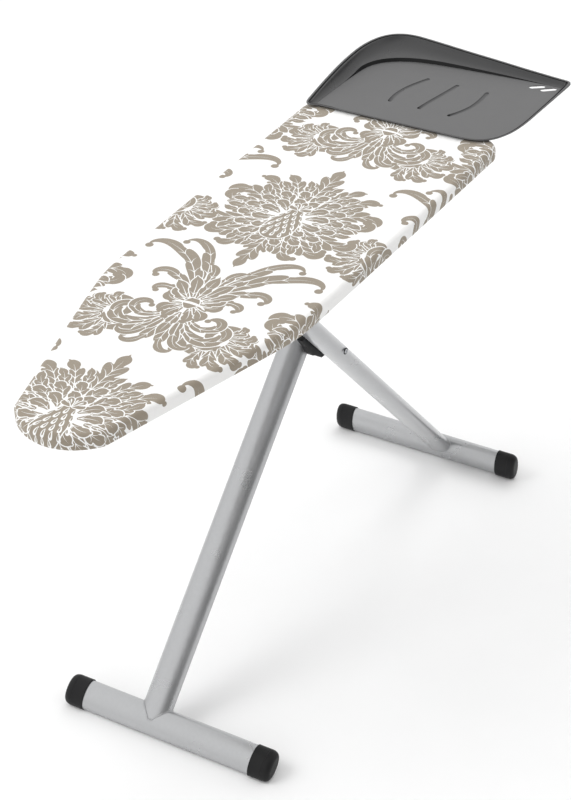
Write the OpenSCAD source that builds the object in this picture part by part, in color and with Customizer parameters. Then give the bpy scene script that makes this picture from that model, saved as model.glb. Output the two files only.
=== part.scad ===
// Free-standing T-leg ironing board with a fabric cover and a moulded iron rest.
// Millimetres, +Z up, +X from the nose to the iron rest, floor at z = 0.

/* [Board] */
// Height of the ironing surface above the floor
board_z = 900; // [890:1:920]
// X of the nose tip
nose_x = -781; // [-800:1:-760]
// X of the square end of the board
end_x = 482; // [470:1:490]
// Half width where the sides become nearly parallel
half_w = 211; // [205:1:216]
// Height of the covered edge
edge_h = 30; // [28:1:32]
// Radius of the two corners at the square end
corner_r = 45; // [35:1:55]
// Thickness of the foam pad
pad_t = 6.2; // [5:0.1:6.4]

/* [Frame] */
// Width of the formed steel rim
rim_w = 12; // [8:1:14]
// Size across the corners of the holes in the steel top
mesh_hole = 20; // [14:1:22]
// Thickness of the steel top
mesh_t = 0.8; // [0.8:0.1:1.5]
// Thickness of channel, bracket and strap steel
plate_t = 2; // [1.8:0.1:2.2]

/* [Legs] */
// Width of the oval leg tube, along Y
leg_w = 64; // [58:1:64]
// Thickness of the oval leg tube
leg_t = 35.5; // [30:0.5:35.5]
// Wall thickness of the tubes
wall = 1.2; // [1:0.1:2]
// Distance of each leg's centre from the middle plane
leg_y = 38.5; // [38.5:0.5:40]
// Lean of the front leg from the vertical
front_lean = 46.84; // [46.5:0.01:47.2]
// Lean of the rear leg from the vertical
rear_lean = 41.75; // [41.5:0.01:42]
// Half length of the front foot bar with its caps
front_bar_l = 231; // [220:1:240]
// Half length of the rear foot bar with its caps
rear_bar_l = 223; // [215:1:230]
// Tilt of the front bar's wide axis above +X
front_tilt = 40; // [35:1:45]
// Tilt of the rear bar's wide axis above +X
rear_tilt = 88; // [85:1:92]
// Length of a foot cap
cap_l = 39; // [32:1:45]
// Wall of a foot cap outside the bar
cap_t = 1.8; // [1.4:0.1:2.2]

/* [Linkage] */
// Height of the fixed hinge and of the sliding axle
hinge_z = 845; // [844:0.5:846]
// Radius of the three main pins
pin_r = 5; // [4:0.5:5.5]
// Running clearance round a pin
run_c = 0.05; // [0.03:0.01:0.08]
// Distance between two height notches
notch_pitch = 28; // [24:1:32]

/* [Iron rest] */
// Height of the tray floor
tray_z = 905; // [904:1:908]
// Height of the tray wall at its highest corner
tray_h = 33; // [26:1:38]
// Thickness of the tray moulding
tray_t = 3; // [2.5:0.1:3]

/* [Hidden] */
$fn = 64;

silver = "#b4b6b8";
black = "#2b2b2b";
steel = "#8f9294";
zinc = "#c9cbcd";

// Bars: centre of the front bar is at x = front_x
front_x = -500;
bar_a = 30;
bar_b = 17.5;
function reach(a, b, t) = sqrt(pow(a * sin(t), 2) + pow(b * cos(t), 2));
sole_cut = 0.9;
front_z = reach(bar_a + cap_t, bar_b + cap_t, front_tilt) - sole_cut;
rear_z = reach(bar_a + cap_t, bar_b + cap_t, rear_tilt) - sole_cut;
hinge_x = front_x + (hinge_z - front_z) * tan(front_lean);
rear_x = 580.3;
slide_x = rear_x - (hinge_z - rear_z) * tan(rear_lean);
// Crossing of the two legs
cross_z = (rear_x - front_x + front_z * tan(front_lean) + rear_z * tan(rear_lean)) / (tan(front_lean) + tan(rear_lean));
cross_x = front_x + (cross_z - front_z) * tan(front_lean);
front_up = (hinge_z - cross_z) / cos(front_lean);
front_down = (cross_z - front_z) / cos(front_lean);
rear_up = (hinge_z - cross_z) / cos(rear_lean);
rear_down = (cross_z - rear_z) / cos(rear_lean);
fold_x = hinge_x - front_up - rear_up;
sleeve_r = 7;
gap_y = leg_y - leg_w / 2;

// Board plan: half width at x, a nose ellipse blended into two straight sides
function low(a, b, k) = (a + b - sqrt((a - b) * (a - b) + k * k)) / 2;
function nose_w(s) = s >= 135 ? 1000 : 120 * sqrt(max(0, 1 - pow((135 - s) / 135, 2)));
function side_w(x) = low(half_w - 54.9 + 0.275 * (x + 500), half_w + 0.0135 * (x + 200), 9);
function plan_w(x) = low(side_w(x), nose_w(x - nose_x), x - nose_x < 135 ? 4 * (x - nose_x) / 135 : 0);
end_w = side_w(end_x);
side_x = concat([for (i = [0:16]) nose_x + 135 * (1 - cos(i * 90 / 16))],
    [for (i = [1:26]) nose_x + 135 + (end_x - corner_r - nose_x - 135) * i / 26]);
half_plan = concat([for (x = side_x) [x, plan_w(x)]],
    [for (i = [1:8]) [end_x - corner_r + corner_r * sin(i * 90 / 8), end_w - corner_r + corner_r * cos(i * 90 / 8)]]);
plan = concat(half_plan, [for (i = [len(half_plan) - 1:-1:1]) [half_plan[i][0], -half_plan[i][1]]]);
function unit(v) = v / norm(v);
// The plan moved inwards by d along its normals
function inset(p, d) = [for (i = [0:len(p) - 1])
    let (a = p[(i + len(p) - 1) % len(p)], b = p[(i + 1) % len(p)], t = unit(b - a)) p[i] + d * [t[1], -t[0]]];

deck_z = board_z - 8;
rim_z0 = board_z - edge_h + 2;
web_z = board_z - edge_h;
web_top = web_z + plate_t;

module slab(d, z0, z1) translate([0, 0, z0]) linear_extrude(z1 - z0) polygon(inset(plan, d));
module oval(a, b) scale([a, b]) circle(r = 1, $fn = 96);
// An oval bar along Y, its wide axis tilted above +X
module y_oval(x, z, tilt, a, b, y0, y1) translate([x, y1, z]) rotate([0, -tilt, 0]) rotate([90, 0, 0]) linear_extrude(y1 - y0) oval(a, b);
module y_rod(x, z, r, y0, y1) translate([x, y1, z]) rotate([90, 0, 0]) cylinder(r = r, h = y1 - y0);
// Frame of the front leg: origin at the crossing, +Z up along the tube
module front_frame() translate([cross_x, 0, cross_z]) rotate([0, front_lean, 0]) children();
module rear_frame() translate([cross_x, 0, cross_z]) rotate([0, -rear_lean, 0]) children();
module leg_oval(y, z0, z1, a, b) translate([0, y, z0]) linear_extrude(z1 - z0) oval(a, b);

// ---- soft parts and deck ----
module fabric_cover() color("#f4f2ef") {
    difference() {
        slab(0, board_z - edge_h, board_z);
        slab(1.2, board_z - edge_h + 1.2, board_z - 1.2);
        slab(25, board_z - edge_h - 1, board_z - edge_h + 2);
    }
}
module cover_drawstring() color("#e9e7e2") difference() {
    slab(24, board_z - edge_h - 2.6, board_z - edge_h - 0.1);
    slab(26.5, board_z - edge_h - 4, board_z - edge_h + 1);
}
module cord_toggle() color(black) translate([end_x - 25.2, 100, board_z - edge_h - 20]) {
    cylinder(r = 6.5, h = 14);
    cylinder(r = 4, h = 17.2);
}
module foam_pad() color("#d9d6cf") slab(1.5, deck_z + 0.3, deck_z + 0.3 + pad_t);
// Hexagonal holes in the steel top, in staggered rows
hole_x = mesh_hole + 8;
module mesh_top() color(steel) difference() {
    slab(3, deck_z - mesh_t, deck_z);
    for (r = [-8:8], i = [0:45]) let (x = nose_x + 40 + hole_x * i + (abs(r) % 2) * hole_x / 2, y = r * hole_x * 0.866)
        if (x < end_x - 30 && abs(y) < plan_w(x) - 30)
            translate([x, y, deck_z - 3]) cylinder(r = mesh_hole / 2, h = 5, $fn = 6);
}
// Rolled angle: an outer flange with a lip turned inwards under it
module frame_rim() color(steel) difference() {
    slab(3, rim_z0, deck_z - mesh_t);
    slab(3 + rim_w, rim_z0 - 1, deck_z);
    slab(3 + plate_t, rim_z0 + plate_t, deck_z);
}
// Shallow channels across the rim, open upwards
stay_x = [-670, -440, -95, 150, 378, 436];
module cross_stays() color(steel) for (x = stay_x) {
    w = min(plan_w(x - 10), plan_w(x + 10)) - 3.6 - rim_w;
    difference() {
        translate([x - 10, -w, web_top]) cube([20, 2 * w, 4]);
        translate([x - 8.8, -w - 1, web_top + 1.2]) cube([17.6, 2 * w + 2, 4]);
    }
}

// ---- under-board metalwork ----
rack_x0 = fold_x - 70;
rack_x1 = slide_x + 64;
slot_lo = hinge_z - pin_r - 1.9;
slot_hi = hinge_z + pin_r + 5.4;
rack_in = 1.6;
module rack_channel() color(zinc) difference() {
    translate([rack_x0, -leg_y - leg_w / 2 - rack_in - plate_t, hinge_z - 14])
        cube([rack_x1 - rack_x0, leg_w + 2 * (rack_in + plate_t), web_top - hinge_z + 14]);
    translate([rack_x0 - 1, -leg_y - leg_w / 2 - rack_in, hinge_z - 20])
        cube([rack_x1 - rack_x0 + 2, leg_w + 2 * rack_in, web_z - hinge_z + 20]);
    translate([fold_x, -leg_y - leg_w, slot_lo]) cube([slide_x - fold_x, 2 * leg_w, slot_hi - slot_lo]);
    for (x = [fold_x, slide_x]) y_rod(x, (slot_lo + slot_hi) / 2, (slot_hi - slot_lo) / 2, -leg_y - leg_w, -leg_y + leg_w);
    y_rod(comb_x, comb_z, 3 + run_c, -leg_y - leg_w, -leg_y);
}
module leg_bracket() color(zinc) difference() {
    translate([hinge_x - 26, gap_y - rack_in - plate_t, hinge_z - 16])
        cube([52, leg_w + 2 * (rack_in + plate_t), web_top - hinge_z + 16]);
    translate([hinge_x - 27, gap_y - rack_in, hinge_z - 20])
        cube([54, leg_w + 2 * rack_in, web_z - hinge_z + 20]);
    y_rod(hinge_x, hinge_z, pin_r + run_c, gap_y - 10, gap_y + leg_w + 10);
}
module hinge_bolt() color(zinc) {
    y_rod(hinge_x, hinge_z, pin_r, gap_y - rack_in - plate_t, leg_y + leg_w / 2 + rack_in + plate_t + 7);
    y_rod(hinge_x, hinge_z, 8.5, gap_y - rack_in - plate_t - 3.2, gap_y - rack_in - plate_t);
}
module hex_nut(x, z, y0) color(zinc) difference() {
    translate([x, y0 + 5.5, z]) rotate([90, 0, 0]) cylinder(r = 9.2, h = 5.5, $fn = 6);
    y_rod(x, z, pin_r, y0 - 1, y0 + 8);
}
module hinge_nut() hex_nut(hinge_x, hinge_z, leg_y + leg_w / 2 + rack_in + plate_t);
module frame_rivets() color(zinc) for (p = [[-435.9, -1], [-95, -1], [378, 1]], s = [-15, 15])
    translate([p[0], p[1] * leg_y + s, web_top + 1.2]) cylinder(r = 4.5, h = 1.8);

// ---- height latch ----
comb_x = rack_x0 + 40;
comb_z = hinge_z + 16;
comb_y0 = -leg_y - leg_w / 2 - rack_in - plate_t - 7;
comb_y1 = comb_y0 + 3;
comb_lo = hinge_z + pin_r + 4;
comb_hi = comb_lo + 14;
tab_x = slide_x + 20;
module latch_comb() color(steel) difference() {
    union() {
        translate([comb_x, comb_y0, comb_lo]) cube([tab_x + 12 - comb_x, 3, comb_hi - comb_lo]);
        y_rod(comb_x, (comb_lo + comb_hi) / 2, 7, comb_y0, comb_y1);
        translate([tab_x, comb_y0, hinge_z - 2]) cube([12, 3, 14]);
    }
    y_rod(comb_x, comb_z, 3 + run_c, comb_y0 - 1, comb_y1 + 1);
    for (i = [0:4]) y_rod(slide_x - i * notch_pitch, comb_lo, pin_r + 0.8, comb_y0 - 1, comb_y1 + 1);
    y_rod(fold_x, comb_lo, pin_r + 0.8, comb_y0 - 1, comb_y1 + 1);
}
module lever_rod() color(zinc) y_rod(tab_x + 6, hinge_z + 4, 4, -178, comb_y0);
module lever_grip() color(black) difference() {
    translate([tab_x + 6, -182, hinge_z + 4]) rotate([-90, 0, 0]) linear_extrude(52) oval(17, 7);
    y_rod(tab_x + 6, hinge_z + 4, 4, -178, -100);
}
module lever_pin() color(zinc) {
    y_rod(comb_x, comb_z, 3, comb_y0 - 9, -leg_y - leg_w / 2 - rack_in);
    y_rod(comb_x, comb_z, 5.5, comb_y0 - 11, comb_y0 - 9);
}
module lever_spring() color("#a7a9ab") difference() {
    y_rod(comb_x, comb_z, 5, comb_y0 - 8.5, comb_y0 - 1);
    y_rod(comb_x, comb_z, 3.3, comb_y0 - 10, comb_y0 + 1);
}

// ---- front leg ----
module front_leg_tube() color(silver) difference() {
    front_frame() difference() {
        leg_oval(leg_y, -front_down, front_up + 9, leg_t / 2, leg_w / 2);
        leg_oval(leg_y, -front_down - 1, front_up + 10, leg_t / 2 - wall, leg_w / 2 - wall);
    }
    y_oval(front_x, front_z, front_tilt, bar_a, bar_b, -100, 200);
    y_rod(hinge_x, hinge_z, sleeve_r, 0, 100);
    y_rod(cross_x, cross_z, sleeve_r, 0, 100);
}
module leg_plug(y, top, x, z) {
    leg_oval(y, top + 9, top + 11, leg_t / 2 - 0.6, leg_w / 2 - 0.6);
    difference() {
        leg_oval(y, top - 12, top + 9, leg_t / 2 - wall, leg_w / 2 - wall);
        translate([0, y + leg_w, top]) rotate([90, 0, 0]) cylinder(r = sleeve_r, h = 2 * leg_w);
    }
}
module front_leg_plug() color(black) front_frame() leg_plug(leg_y, front_up);
module sleeve(x, z, y0, y1) difference() {
    y_rod(x, z, sleeve_r, y0, y1);
    y_rod(x, z, pin_r + run_c, y0 - 1, y1 + 1);
}
module hinge_sleeve() color(zinc) sleeve(hinge_x, hinge_z, gap_y - 1, gap_y + leg_w + 1);
module pivot_sleeve_front() color(zinc) sleeve(cross_x, cross_z, gap_y - 0.1, gap_y + leg_w + 0.6);
module pivot_bolt() color(zinc) {
    y_rod(cross_x, cross_z, pin_r, -gap_y - leg_w - 0.8, gap_y + leg_w + 7);
    y_rod(cross_x, cross_z, 7, -gap_y - leg_w - 3.6, -gap_y - leg_w - 0.8);
}
module pivot_nut() hex_nut(cross_x, cross_z, gap_y + leg_w + 0.6);
module foot_bar(x, z, tilt, l) color(silver) difference() {
    y_oval(x, z, tilt, bar_a, bar_b, -l + 3, l - 3);
    y_oval(x, z, tilt, bar_a - wall, bar_b - wall, -l - 1, l + 1);
}
module cap(x, z, tilt, y_in, y_out) color(black) intersection() {
    difference() {
        y_oval(x, z, tilt, bar_a + cap_t, bar_b + cap_t, min(y_in, y_out), max(y_in, y_out));
        y_oval(x, z, tilt, bar_a, bar_b, min(y_in, y_out) - (y_out > 0 ? 1 : -3), max(y_in, y_out) + (y_out > 0 ? -3 : 1));
    }
    translate([x - 60, min(y_in, y_out) - 5, 0]) cube([120, abs(y_out - y_in) + 10, 100]);
}
module front_foot_bar() foot_bar(front_x, front_z, front_tilt, front_bar_l);
module front_cap_left() cap(front_x, front_z, front_tilt, front_bar_l - cap_l, front_bar_l);
module front_cap_right() cap(front_x, front_z, front_tilt, -front_bar_l + cap_l, -front_bar_l);

// ---- rear leg ----
module rear_leg_tube() color(silver) difference() {
    rear_frame() difference() {
        leg_oval(-leg_y, -rear_down, rear_up + 9, leg_t / 2, leg_w / 2);
        leg_oval(-leg_y, -rear_down - 1, rear_up + 10, leg_t / 2 - wall, leg_w / 2 - wall);
    }
    y_oval(rear_x, rear_z, rear_tilt, bar_a, bar_b, -200, 100);
    y_rod(slide_x, hinge_z, pin_r, -100, 0);
    y_rod(cross_x, cross_z, sleeve_r, -100, 0);
}
module rear_leg_plug() color(black) rear_frame() {
    leg_oval(-leg_y, rear_up + 9, rear_up + 11, leg_t / 2 - 0.6, leg_w / 2 - 0.6);
    difference() {
        leg_oval(-leg_y, rear_up - 12, rear_up + 9, leg_t / 2 - wall, leg_w / 2 - wall);
        translate([0, leg_w, rear_up]) rotate([90, 0, 0]) cylinder(r = pin_r, h = 3 * leg_w);
    }
}
module pivot_sleeve_rear() color(zinc) sleeve(cross_x, cross_z, -gap_y - leg_w - 0.6, -gap_y + 0.1);
// Black plate between the tubes, its tail hanging out along the underside of the rear leg
spacer_pts = [[-57, 36], [-40, 12], [-30, -8], [18, -46], [36, -48], [40, -34], [14, 26], [-20, 40]];
module pivot_spacer() color(black) difference() {
    translate([cross_x, gap_y - 0.3, cross_z]) rotate([90, 0, 0]) linear_extrude(2 * gap_y - 0.6) {
        circle(r = 27);
        polygon(spacer_pts);
    }
    y_rod(cross_x, cross_z, sleeve_r + 0.4, -50, 50);
}
module slide_axle() color(zinc) y_rod(slide_x, hinge_z, pin_r, comb_y0 - 3, -gap_y + rack_in + plate_t + 1);
module slide_shoes() color(black) for (y = [-leg_y - leg_w / 2 - rack_in - plate_t - 0.7, -gap_y + 0.7]) difference() {
    y_rod(slide_x, hinge_z, pin_r + 1.5, y, y + plate_t + 1.4);
    y_rod(slide_x, hinge_z, pin_r, y - 1, y + 6);
}
module rear_foot_bar() foot_bar(rear_x, rear_z, rear_tilt, rear_bar_l);
module rear_cap_left() cap(rear_x, rear_z, rear_tilt, rear_bar_l - cap_l, rear_bar_l);
module rear_cap_right() cap(rear_x, rear_z, rear_tilt, -rear_bar_l + cap_l, -rear_bar_l);

// ---- iron rest ----
strap_y = 140;
module tray_straps() color(zinc) for (s = [-1, 1]) translate([0, s * strap_y - 10, 0]) difference() {
    union() {
        translate([420, 0, web_z - 7]) cube([76, 20, 4]);
        translate([426, 0, web_z - 3.1]) cube([20, 20, 5]);
        translate([492, 0, web_z - 7]) cube([4, 20, tray_z - tray_t - web_z + 7]);
        translate([492, 0, tray_z - tray_t - 4]) cube([236, 20, 4]);
    }
    for (x = [540, 690]) translate([x, 10, tray_z - tray_t - 6]) cylinder(r = 2.6, h = 10);
}
module tray_screws() color(zinc) for (s = [-1, 1], x = [540, 690]) translate([x, s * strap_y, tray_z - tray_t - 7.4]) {
    cylinder(r = 4.6, h = 3.3);
    cylinder(r = 2.2, h = 9);
}
// Tray outline: four corners, each with its own radius and wall height, walked anticlockwise from the near right one.
// Each row: rim x, rim y, rim radius, wall height, floor x, floor y, floor radius
tray_c = [
    [444, -237, 92, 2.2, 447, -233, 88],
    [763, -243, 18, 9, 744, -230, 12],
    [778, 220, 105, tray_h, 724, 188, 78],
    [437, 213, 14, 6, 447, 194, 8]];
tray_n = 10;
function arc_at(c, a, b, r, k) = let (u = unit(a - c), v = unit(b - c), h = acos(u * v) / 2, m = c + unit(u + v) * r / sin(h),
    p = c + u * r / tan(h), q = c + v * r / tan(h), a0 = atan2(p[1] - m[1], p[0] - m[0]), a1 = atan2(q[1] - m[1], q[0] - m[0]),
    d = ((a1 - a0) % 360 + 540) % 360 - 180) m + r * [cos(a0 + d * k), sin(a0 + d * k)];
function tray_ring(f) = [for (i = [0:3], k = [0:tray_n]) let (j = f ? 4 : 0, s = f ? 6 : 2,
    c = tray_c[i], a = tray_c[(i + 3) % 4], b = tray_c[(i + 1) % 4])
    arc_at([c[j], c[j + 1]], [a[j], a[j + 1]], [b[j], b[j + 1]], c[s], k / tray_n)];
function tray_wall(i, k) = let (h = tray_c[i][3], p = tray_c[(i + 3) % 4][3], n = tray_c[(i + 1) % 4][3]) h + 0 * (p + n) * k;
rim_pts = tray_ring(false);
foot_pts = tray_ring(true);
rim_h = [for (i = [0:3], k = [0:tray_n]) tray_wall(i, k)];
tn = len(rim_pts);
function shrink(p, d) = [for (i = [0:len(p) - 1]) let (a = p[(i + len(p) - 1) % len(p)], b = p[(i + 1) % len(p)], t = unit(b - a)) p[i] + d * [-t[1], t[0]]];
rim_in = shrink(rim_pts, tray_t);
module iron_tray() color("#6f7072") difference() {
    polyhedron(points = concat(
            [for (p = foot_pts) [p[0], p[1], tray_z - tray_t]],
            [for (i = [0:tn - 1]) [rim_pts[i][0], rim_pts[i][1], tray_z + rim_h[i]]],
            [for (i = [0:tn - 1]) [rim_in[i][0], rim_in[i][1], tray_z + rim_h[i]]],
            [for (p = shrink(foot_pts, 0.8)) [p[0], p[1], tray_z]]),
        faces = concat(
            [[for (i = [0:tn - 1]) i]],
            [for (r = [0:2], i = [0:tn - 1]) [r * tn + i, (r + 1) * tn + i, (r + 1) * tn + (i + 1) % tn, r * tn + (i + 1) % tn]],
            [[for (i = [tn - 1:-1:0]) 3 * tn + i]]), convexity = 6);
    for (p = [[727, -187], [729, -213]]) translate([p[0], p[1], tray_z - 8]) rotate(-56) {
        translate([-8, -3.5, 0]) cube([16, 7, 16]);
        for (s = [-8, 8]) translate([s, 0, 0]) cylinder(r = 3.5, h = 16);
    }
}

fabric_cover();
cover_drawstring();
cord_toggle();
foam_pad();
mesh_top();
frame_rim();
cross_stays();
rack_channel();
leg_bracket();
hinge_bolt();
hinge_nut();
frame_rivets();
lever_pin();
lever_spring();
latch_comb();
lever_rod();
lever_grip();
front_leg_tube();
front_leg_plug();
hinge_sleeve();
pivot_sleeve_front();
pivot_bolt();
pivot_nut();
front_foot_bar();
front_cap_left();
front_cap_right();
rear_leg_tube();
rear_leg_plug();
pivot_sleeve_rear();
pivot_spacer();
slide_axle();
slide_shoes();
rear_foot_bar();
rear_cap_left();
rear_cap_right();
tray_straps();
iron_tray();
tray_screws();
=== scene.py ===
import math
import bpy
import numpy as np
from mathutils import Matrix, Vector, geometry


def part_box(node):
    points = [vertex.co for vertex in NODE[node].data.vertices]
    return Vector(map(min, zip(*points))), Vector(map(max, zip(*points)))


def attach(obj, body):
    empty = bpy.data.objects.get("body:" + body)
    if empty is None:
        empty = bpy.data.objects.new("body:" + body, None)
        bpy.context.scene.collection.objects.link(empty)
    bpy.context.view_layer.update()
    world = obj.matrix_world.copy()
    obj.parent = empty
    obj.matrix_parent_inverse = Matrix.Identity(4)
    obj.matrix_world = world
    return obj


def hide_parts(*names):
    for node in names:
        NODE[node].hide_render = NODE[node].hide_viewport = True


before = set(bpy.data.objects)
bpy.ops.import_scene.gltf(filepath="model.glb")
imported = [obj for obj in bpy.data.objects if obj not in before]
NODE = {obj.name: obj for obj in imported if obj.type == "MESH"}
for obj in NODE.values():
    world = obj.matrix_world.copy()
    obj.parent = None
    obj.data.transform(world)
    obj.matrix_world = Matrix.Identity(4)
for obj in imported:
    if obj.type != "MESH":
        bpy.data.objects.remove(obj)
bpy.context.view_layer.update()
MM = 0.001

# ------------------------------------------------------------------ camera
cam_data = bpy.data.cameras.new("camera")
cam = bpy.data.objects.new("camera", cam_data)
bpy.context.scene.collection.objects.link(cam)
cam_data.lens = 94.68
cam_data.sensor_width = 36
cam_data.clip_start, cam_data.clip_end = 0.05, 60
right, up, ahead = (Vector(v) for v in ((0.50833709, -0.86056944, -0.03183784), (0.49776421, 0.26345748, 0.8263298), (0.70272625, 0.43590183, -0.56228588)))
turn = Matrix((right, up, -ahead)).transposed().to_4x4()
cam.matrix_world = Matrix.Translation((-2.95016, -1.81402, 2.84885)) @ turn
bpy.context.scene.camera = cam


# ------------------------------------------------------------------ mesh helpers (all lengths in mm)
def make(name, pts, faces, mats, index=None, smooth=True, uv=None, normals=None):
    """One mesh object from an (n, 3) array in mm and a list or array of faces."""
    me = bpy.data.meshes.new(name)
    pts = np.asarray(pts, float) * MM
    if isinstance(faces, np.ndarray):
        k = faces.shape[1]
        me.vertices.add(len(pts))
        me.vertices.foreach_set("co", pts.astype(np.float32).ravel())
        me.loops.add(faces.size)
        me.loops.foreach_set("vertex_index", faces.astype(np.int32).ravel())
        me.polygons.add(len(faces))
        me.polygons.foreach_set("loop_start", np.arange(0, faces.size, k, dtype=np.int32))
        me.polygons.foreach_set("loop_total", np.full(len(faces), k, np.int32))
    else:
        me.from_pydata([tuple(p) for p in pts], [], [tuple(int(i) for i in f) for f in faces])
    if index is not None:
        me.polygons.foreach_set("material_index", np.asarray(index, np.int32))
    me.polygons.foreach_set("use_smooth", np.full(len(me.polygons), bool(smooth)))
    me.update(calc_edges=True)
    me.validate()
    if uv is not None:
        layer = me.uv_layers.new(name="flat")
        li = np.zeros(len(me.loops), np.int32)
        me.loops.foreach_get("vertex_index", li)
        layer.data.foreach_set("uv", (np.asarray(uv, float)[li] * MM).astype(np.float32).ravel())
    if normals is not None:
        me.normals_split_custom_set_from_vertices(np.asarray(normals, float).tolist())
    for m in (mats if isinstance(mats, (list, tuple)) else [mats]):
        me.materials.append(m)
    ob = bpy.data.objects.new(name, me)
    bpy.context.scene.collection.objects.link(ob)
    return ob


def put(ob, body, *nodes, slot=None):
    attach(ob, body)
    if nodes:
        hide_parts(*nodes)
    return ob


def smooth_by_angle(ob, deg=35):
    """Marks the edges that turn more than deg as sharp."""
    me = ob.data
    fn = np.zeros(len(me.polygons) * 3, np.float32)
    me.polygons.foreach_get("normal", fn)
    fn = fn.reshape(-1, 3)
    le = np.zeros(len(me.loops), np.int32)
    me.loops.foreach_get("edge_index", le)
    lt = np.zeros(len(me.polygons), np.int32)
    me.polygons.foreach_get("loop_total", lt)
    face = np.repeat(np.arange(len(lt)), lt)
    order = np.argsort(le, kind="stable")
    e, f = le[order], face[order]
    sharp = np.zeros(len(me.edges), bool)
    same = np.nonzero(e[1:] == e[:-1])[0]
    c = np.einsum("ij,ij->i", fn[f[same]], fn[f[same + 1]])
    sharp[e[same[c < math.cos(math.radians(deg))]]] = True
    at = me.attributes.get("sharp_edge") or me.attributes.new("sharp_edge", "BOOLEAN", "EDGE")
    at.data.foreach_set("value", sharp)
    me.update()
    return ob


def loft(rings, closed=True, cap=(False, False)):
    """Points and quads between rings that have the same number of points. closed joins each ring's ends."""
    n = len(rings[0])
    pts = np.concatenate(rings)
    faces = []
    for r in range(len(rings) - 1):
        for i in range(n if closed else n - 1):
            j = (i + 1) % n
            faces.append((r * n + i, r * n + j, (r + 1) * n + j, (r + 1) * n + i))
    if cap[0]:
        faces.append(tuple(range(n - 1, -1, -1)))
    if cap[1]:
        faces.append(tuple((len(rings) - 1) * n + i for i in range(n)))
    return pts, faces


def lathe(profile, centre, axis, n=40, caps=(True, True)):
    """A turned piece: profile is (distance along the axis, radius) in mm."""
    axis = np.array(axis, float) / np.linalg.norm(axis)
    a = np.cross(axis, [0.3, 0.2, 1.0])
    a /= np.linalg.norm(a)
    b = np.cross(axis, a)
    t = np.linspace(0, 2 * np.pi, n, endpoint=False)
    rings = [np.array(centre) + axis * h + r * (np.cos(t)[:, None] * a + np.sin(t)[:, None] * b) for h, r in profile]
    return loft(rings, True, caps)


def sweep(path, radius, sides=10, closed=False):
    """A round tube along points in mm, its frame carried along without twist."""
    path = np.asarray(path, float)
    n = len(path)
    rad = np.broadcast_to(np.asarray(radius, float), (n,))
    if closed:
        tan = np.roll(path, -1, 0) - np.roll(path, 1, 0)
    else:
        tan = np.gradient(path, axis=0)
    tan /= np.linalg.norm(tan, axis=1)[:, None]
    ref = np.cross(tan[0], [0.1, 0.3, 1.0])
    ref /= np.linalg.norm(ref)
    rings = []
    t = np.linspace(0, 2 * np.pi, sides, endpoint=False)
    for i in range(n):
        ref = ref - tan[i] * (ref @ tan[i])
        ref /= np.linalg.norm(ref)
        b = np.cross(tan[i], ref)
        rings.append(path[i] + rad[i] * (np.cos(t)[:, None] * ref + np.sin(t)[:, None] * b))
    pts, faces = loft(rings, True, (not closed, not closed))
    if closed:
        # join the last ring to the first with the turn that fits best
        last, first = rings[-1], rings[0]
        k = int(np.argmin([np.sum((np.roll(first, -s, 0) - last) ** 2) for s in range(sides)]))
        o = (n - 1) * sides
        for i in range(sides):
            j = (i + 1) % sides
            faces.append((o + i, o + j, (j + k) % sides, (i + k) % sides))
    return pts, faces


def merge(parts):
    """Several (points, faces) as one."""
    pts, faces, o = [], [], 0
    for p, f in parts:
        pts.append(np.asarray(p, float))
        faces += [tuple(int(i) + o for i in g) for g in f]
        o += len(p)
    return np.concatenate(pts), faces


def spline(points, per=8, closed=False):
    """Catmull-Rom through the points."""
    p = np.asarray(points, float)
    n = len(p)
    out = []
    for i in range(n if closed else n - 1):
        if closed:
            a, b, c, d = (p[(i + k) % n] for k in (-1, 0, 1, 2))
        else:
            a, b, c, d = p[max(i - 1, 0)], p[i], p[i + 1], p[min(i + 2, n - 1)]
        for k in range(per):
            t = k / per
            out.append(0.5 * (2 * b + (c - a) * t + (2 * a - 5 * b + 4 * c - d) * t * t + (3 * b - a - 3 * c + d) * t ** 3))
    if not closed:
        out.append(p[-1])
    return np.array(out)


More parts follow.
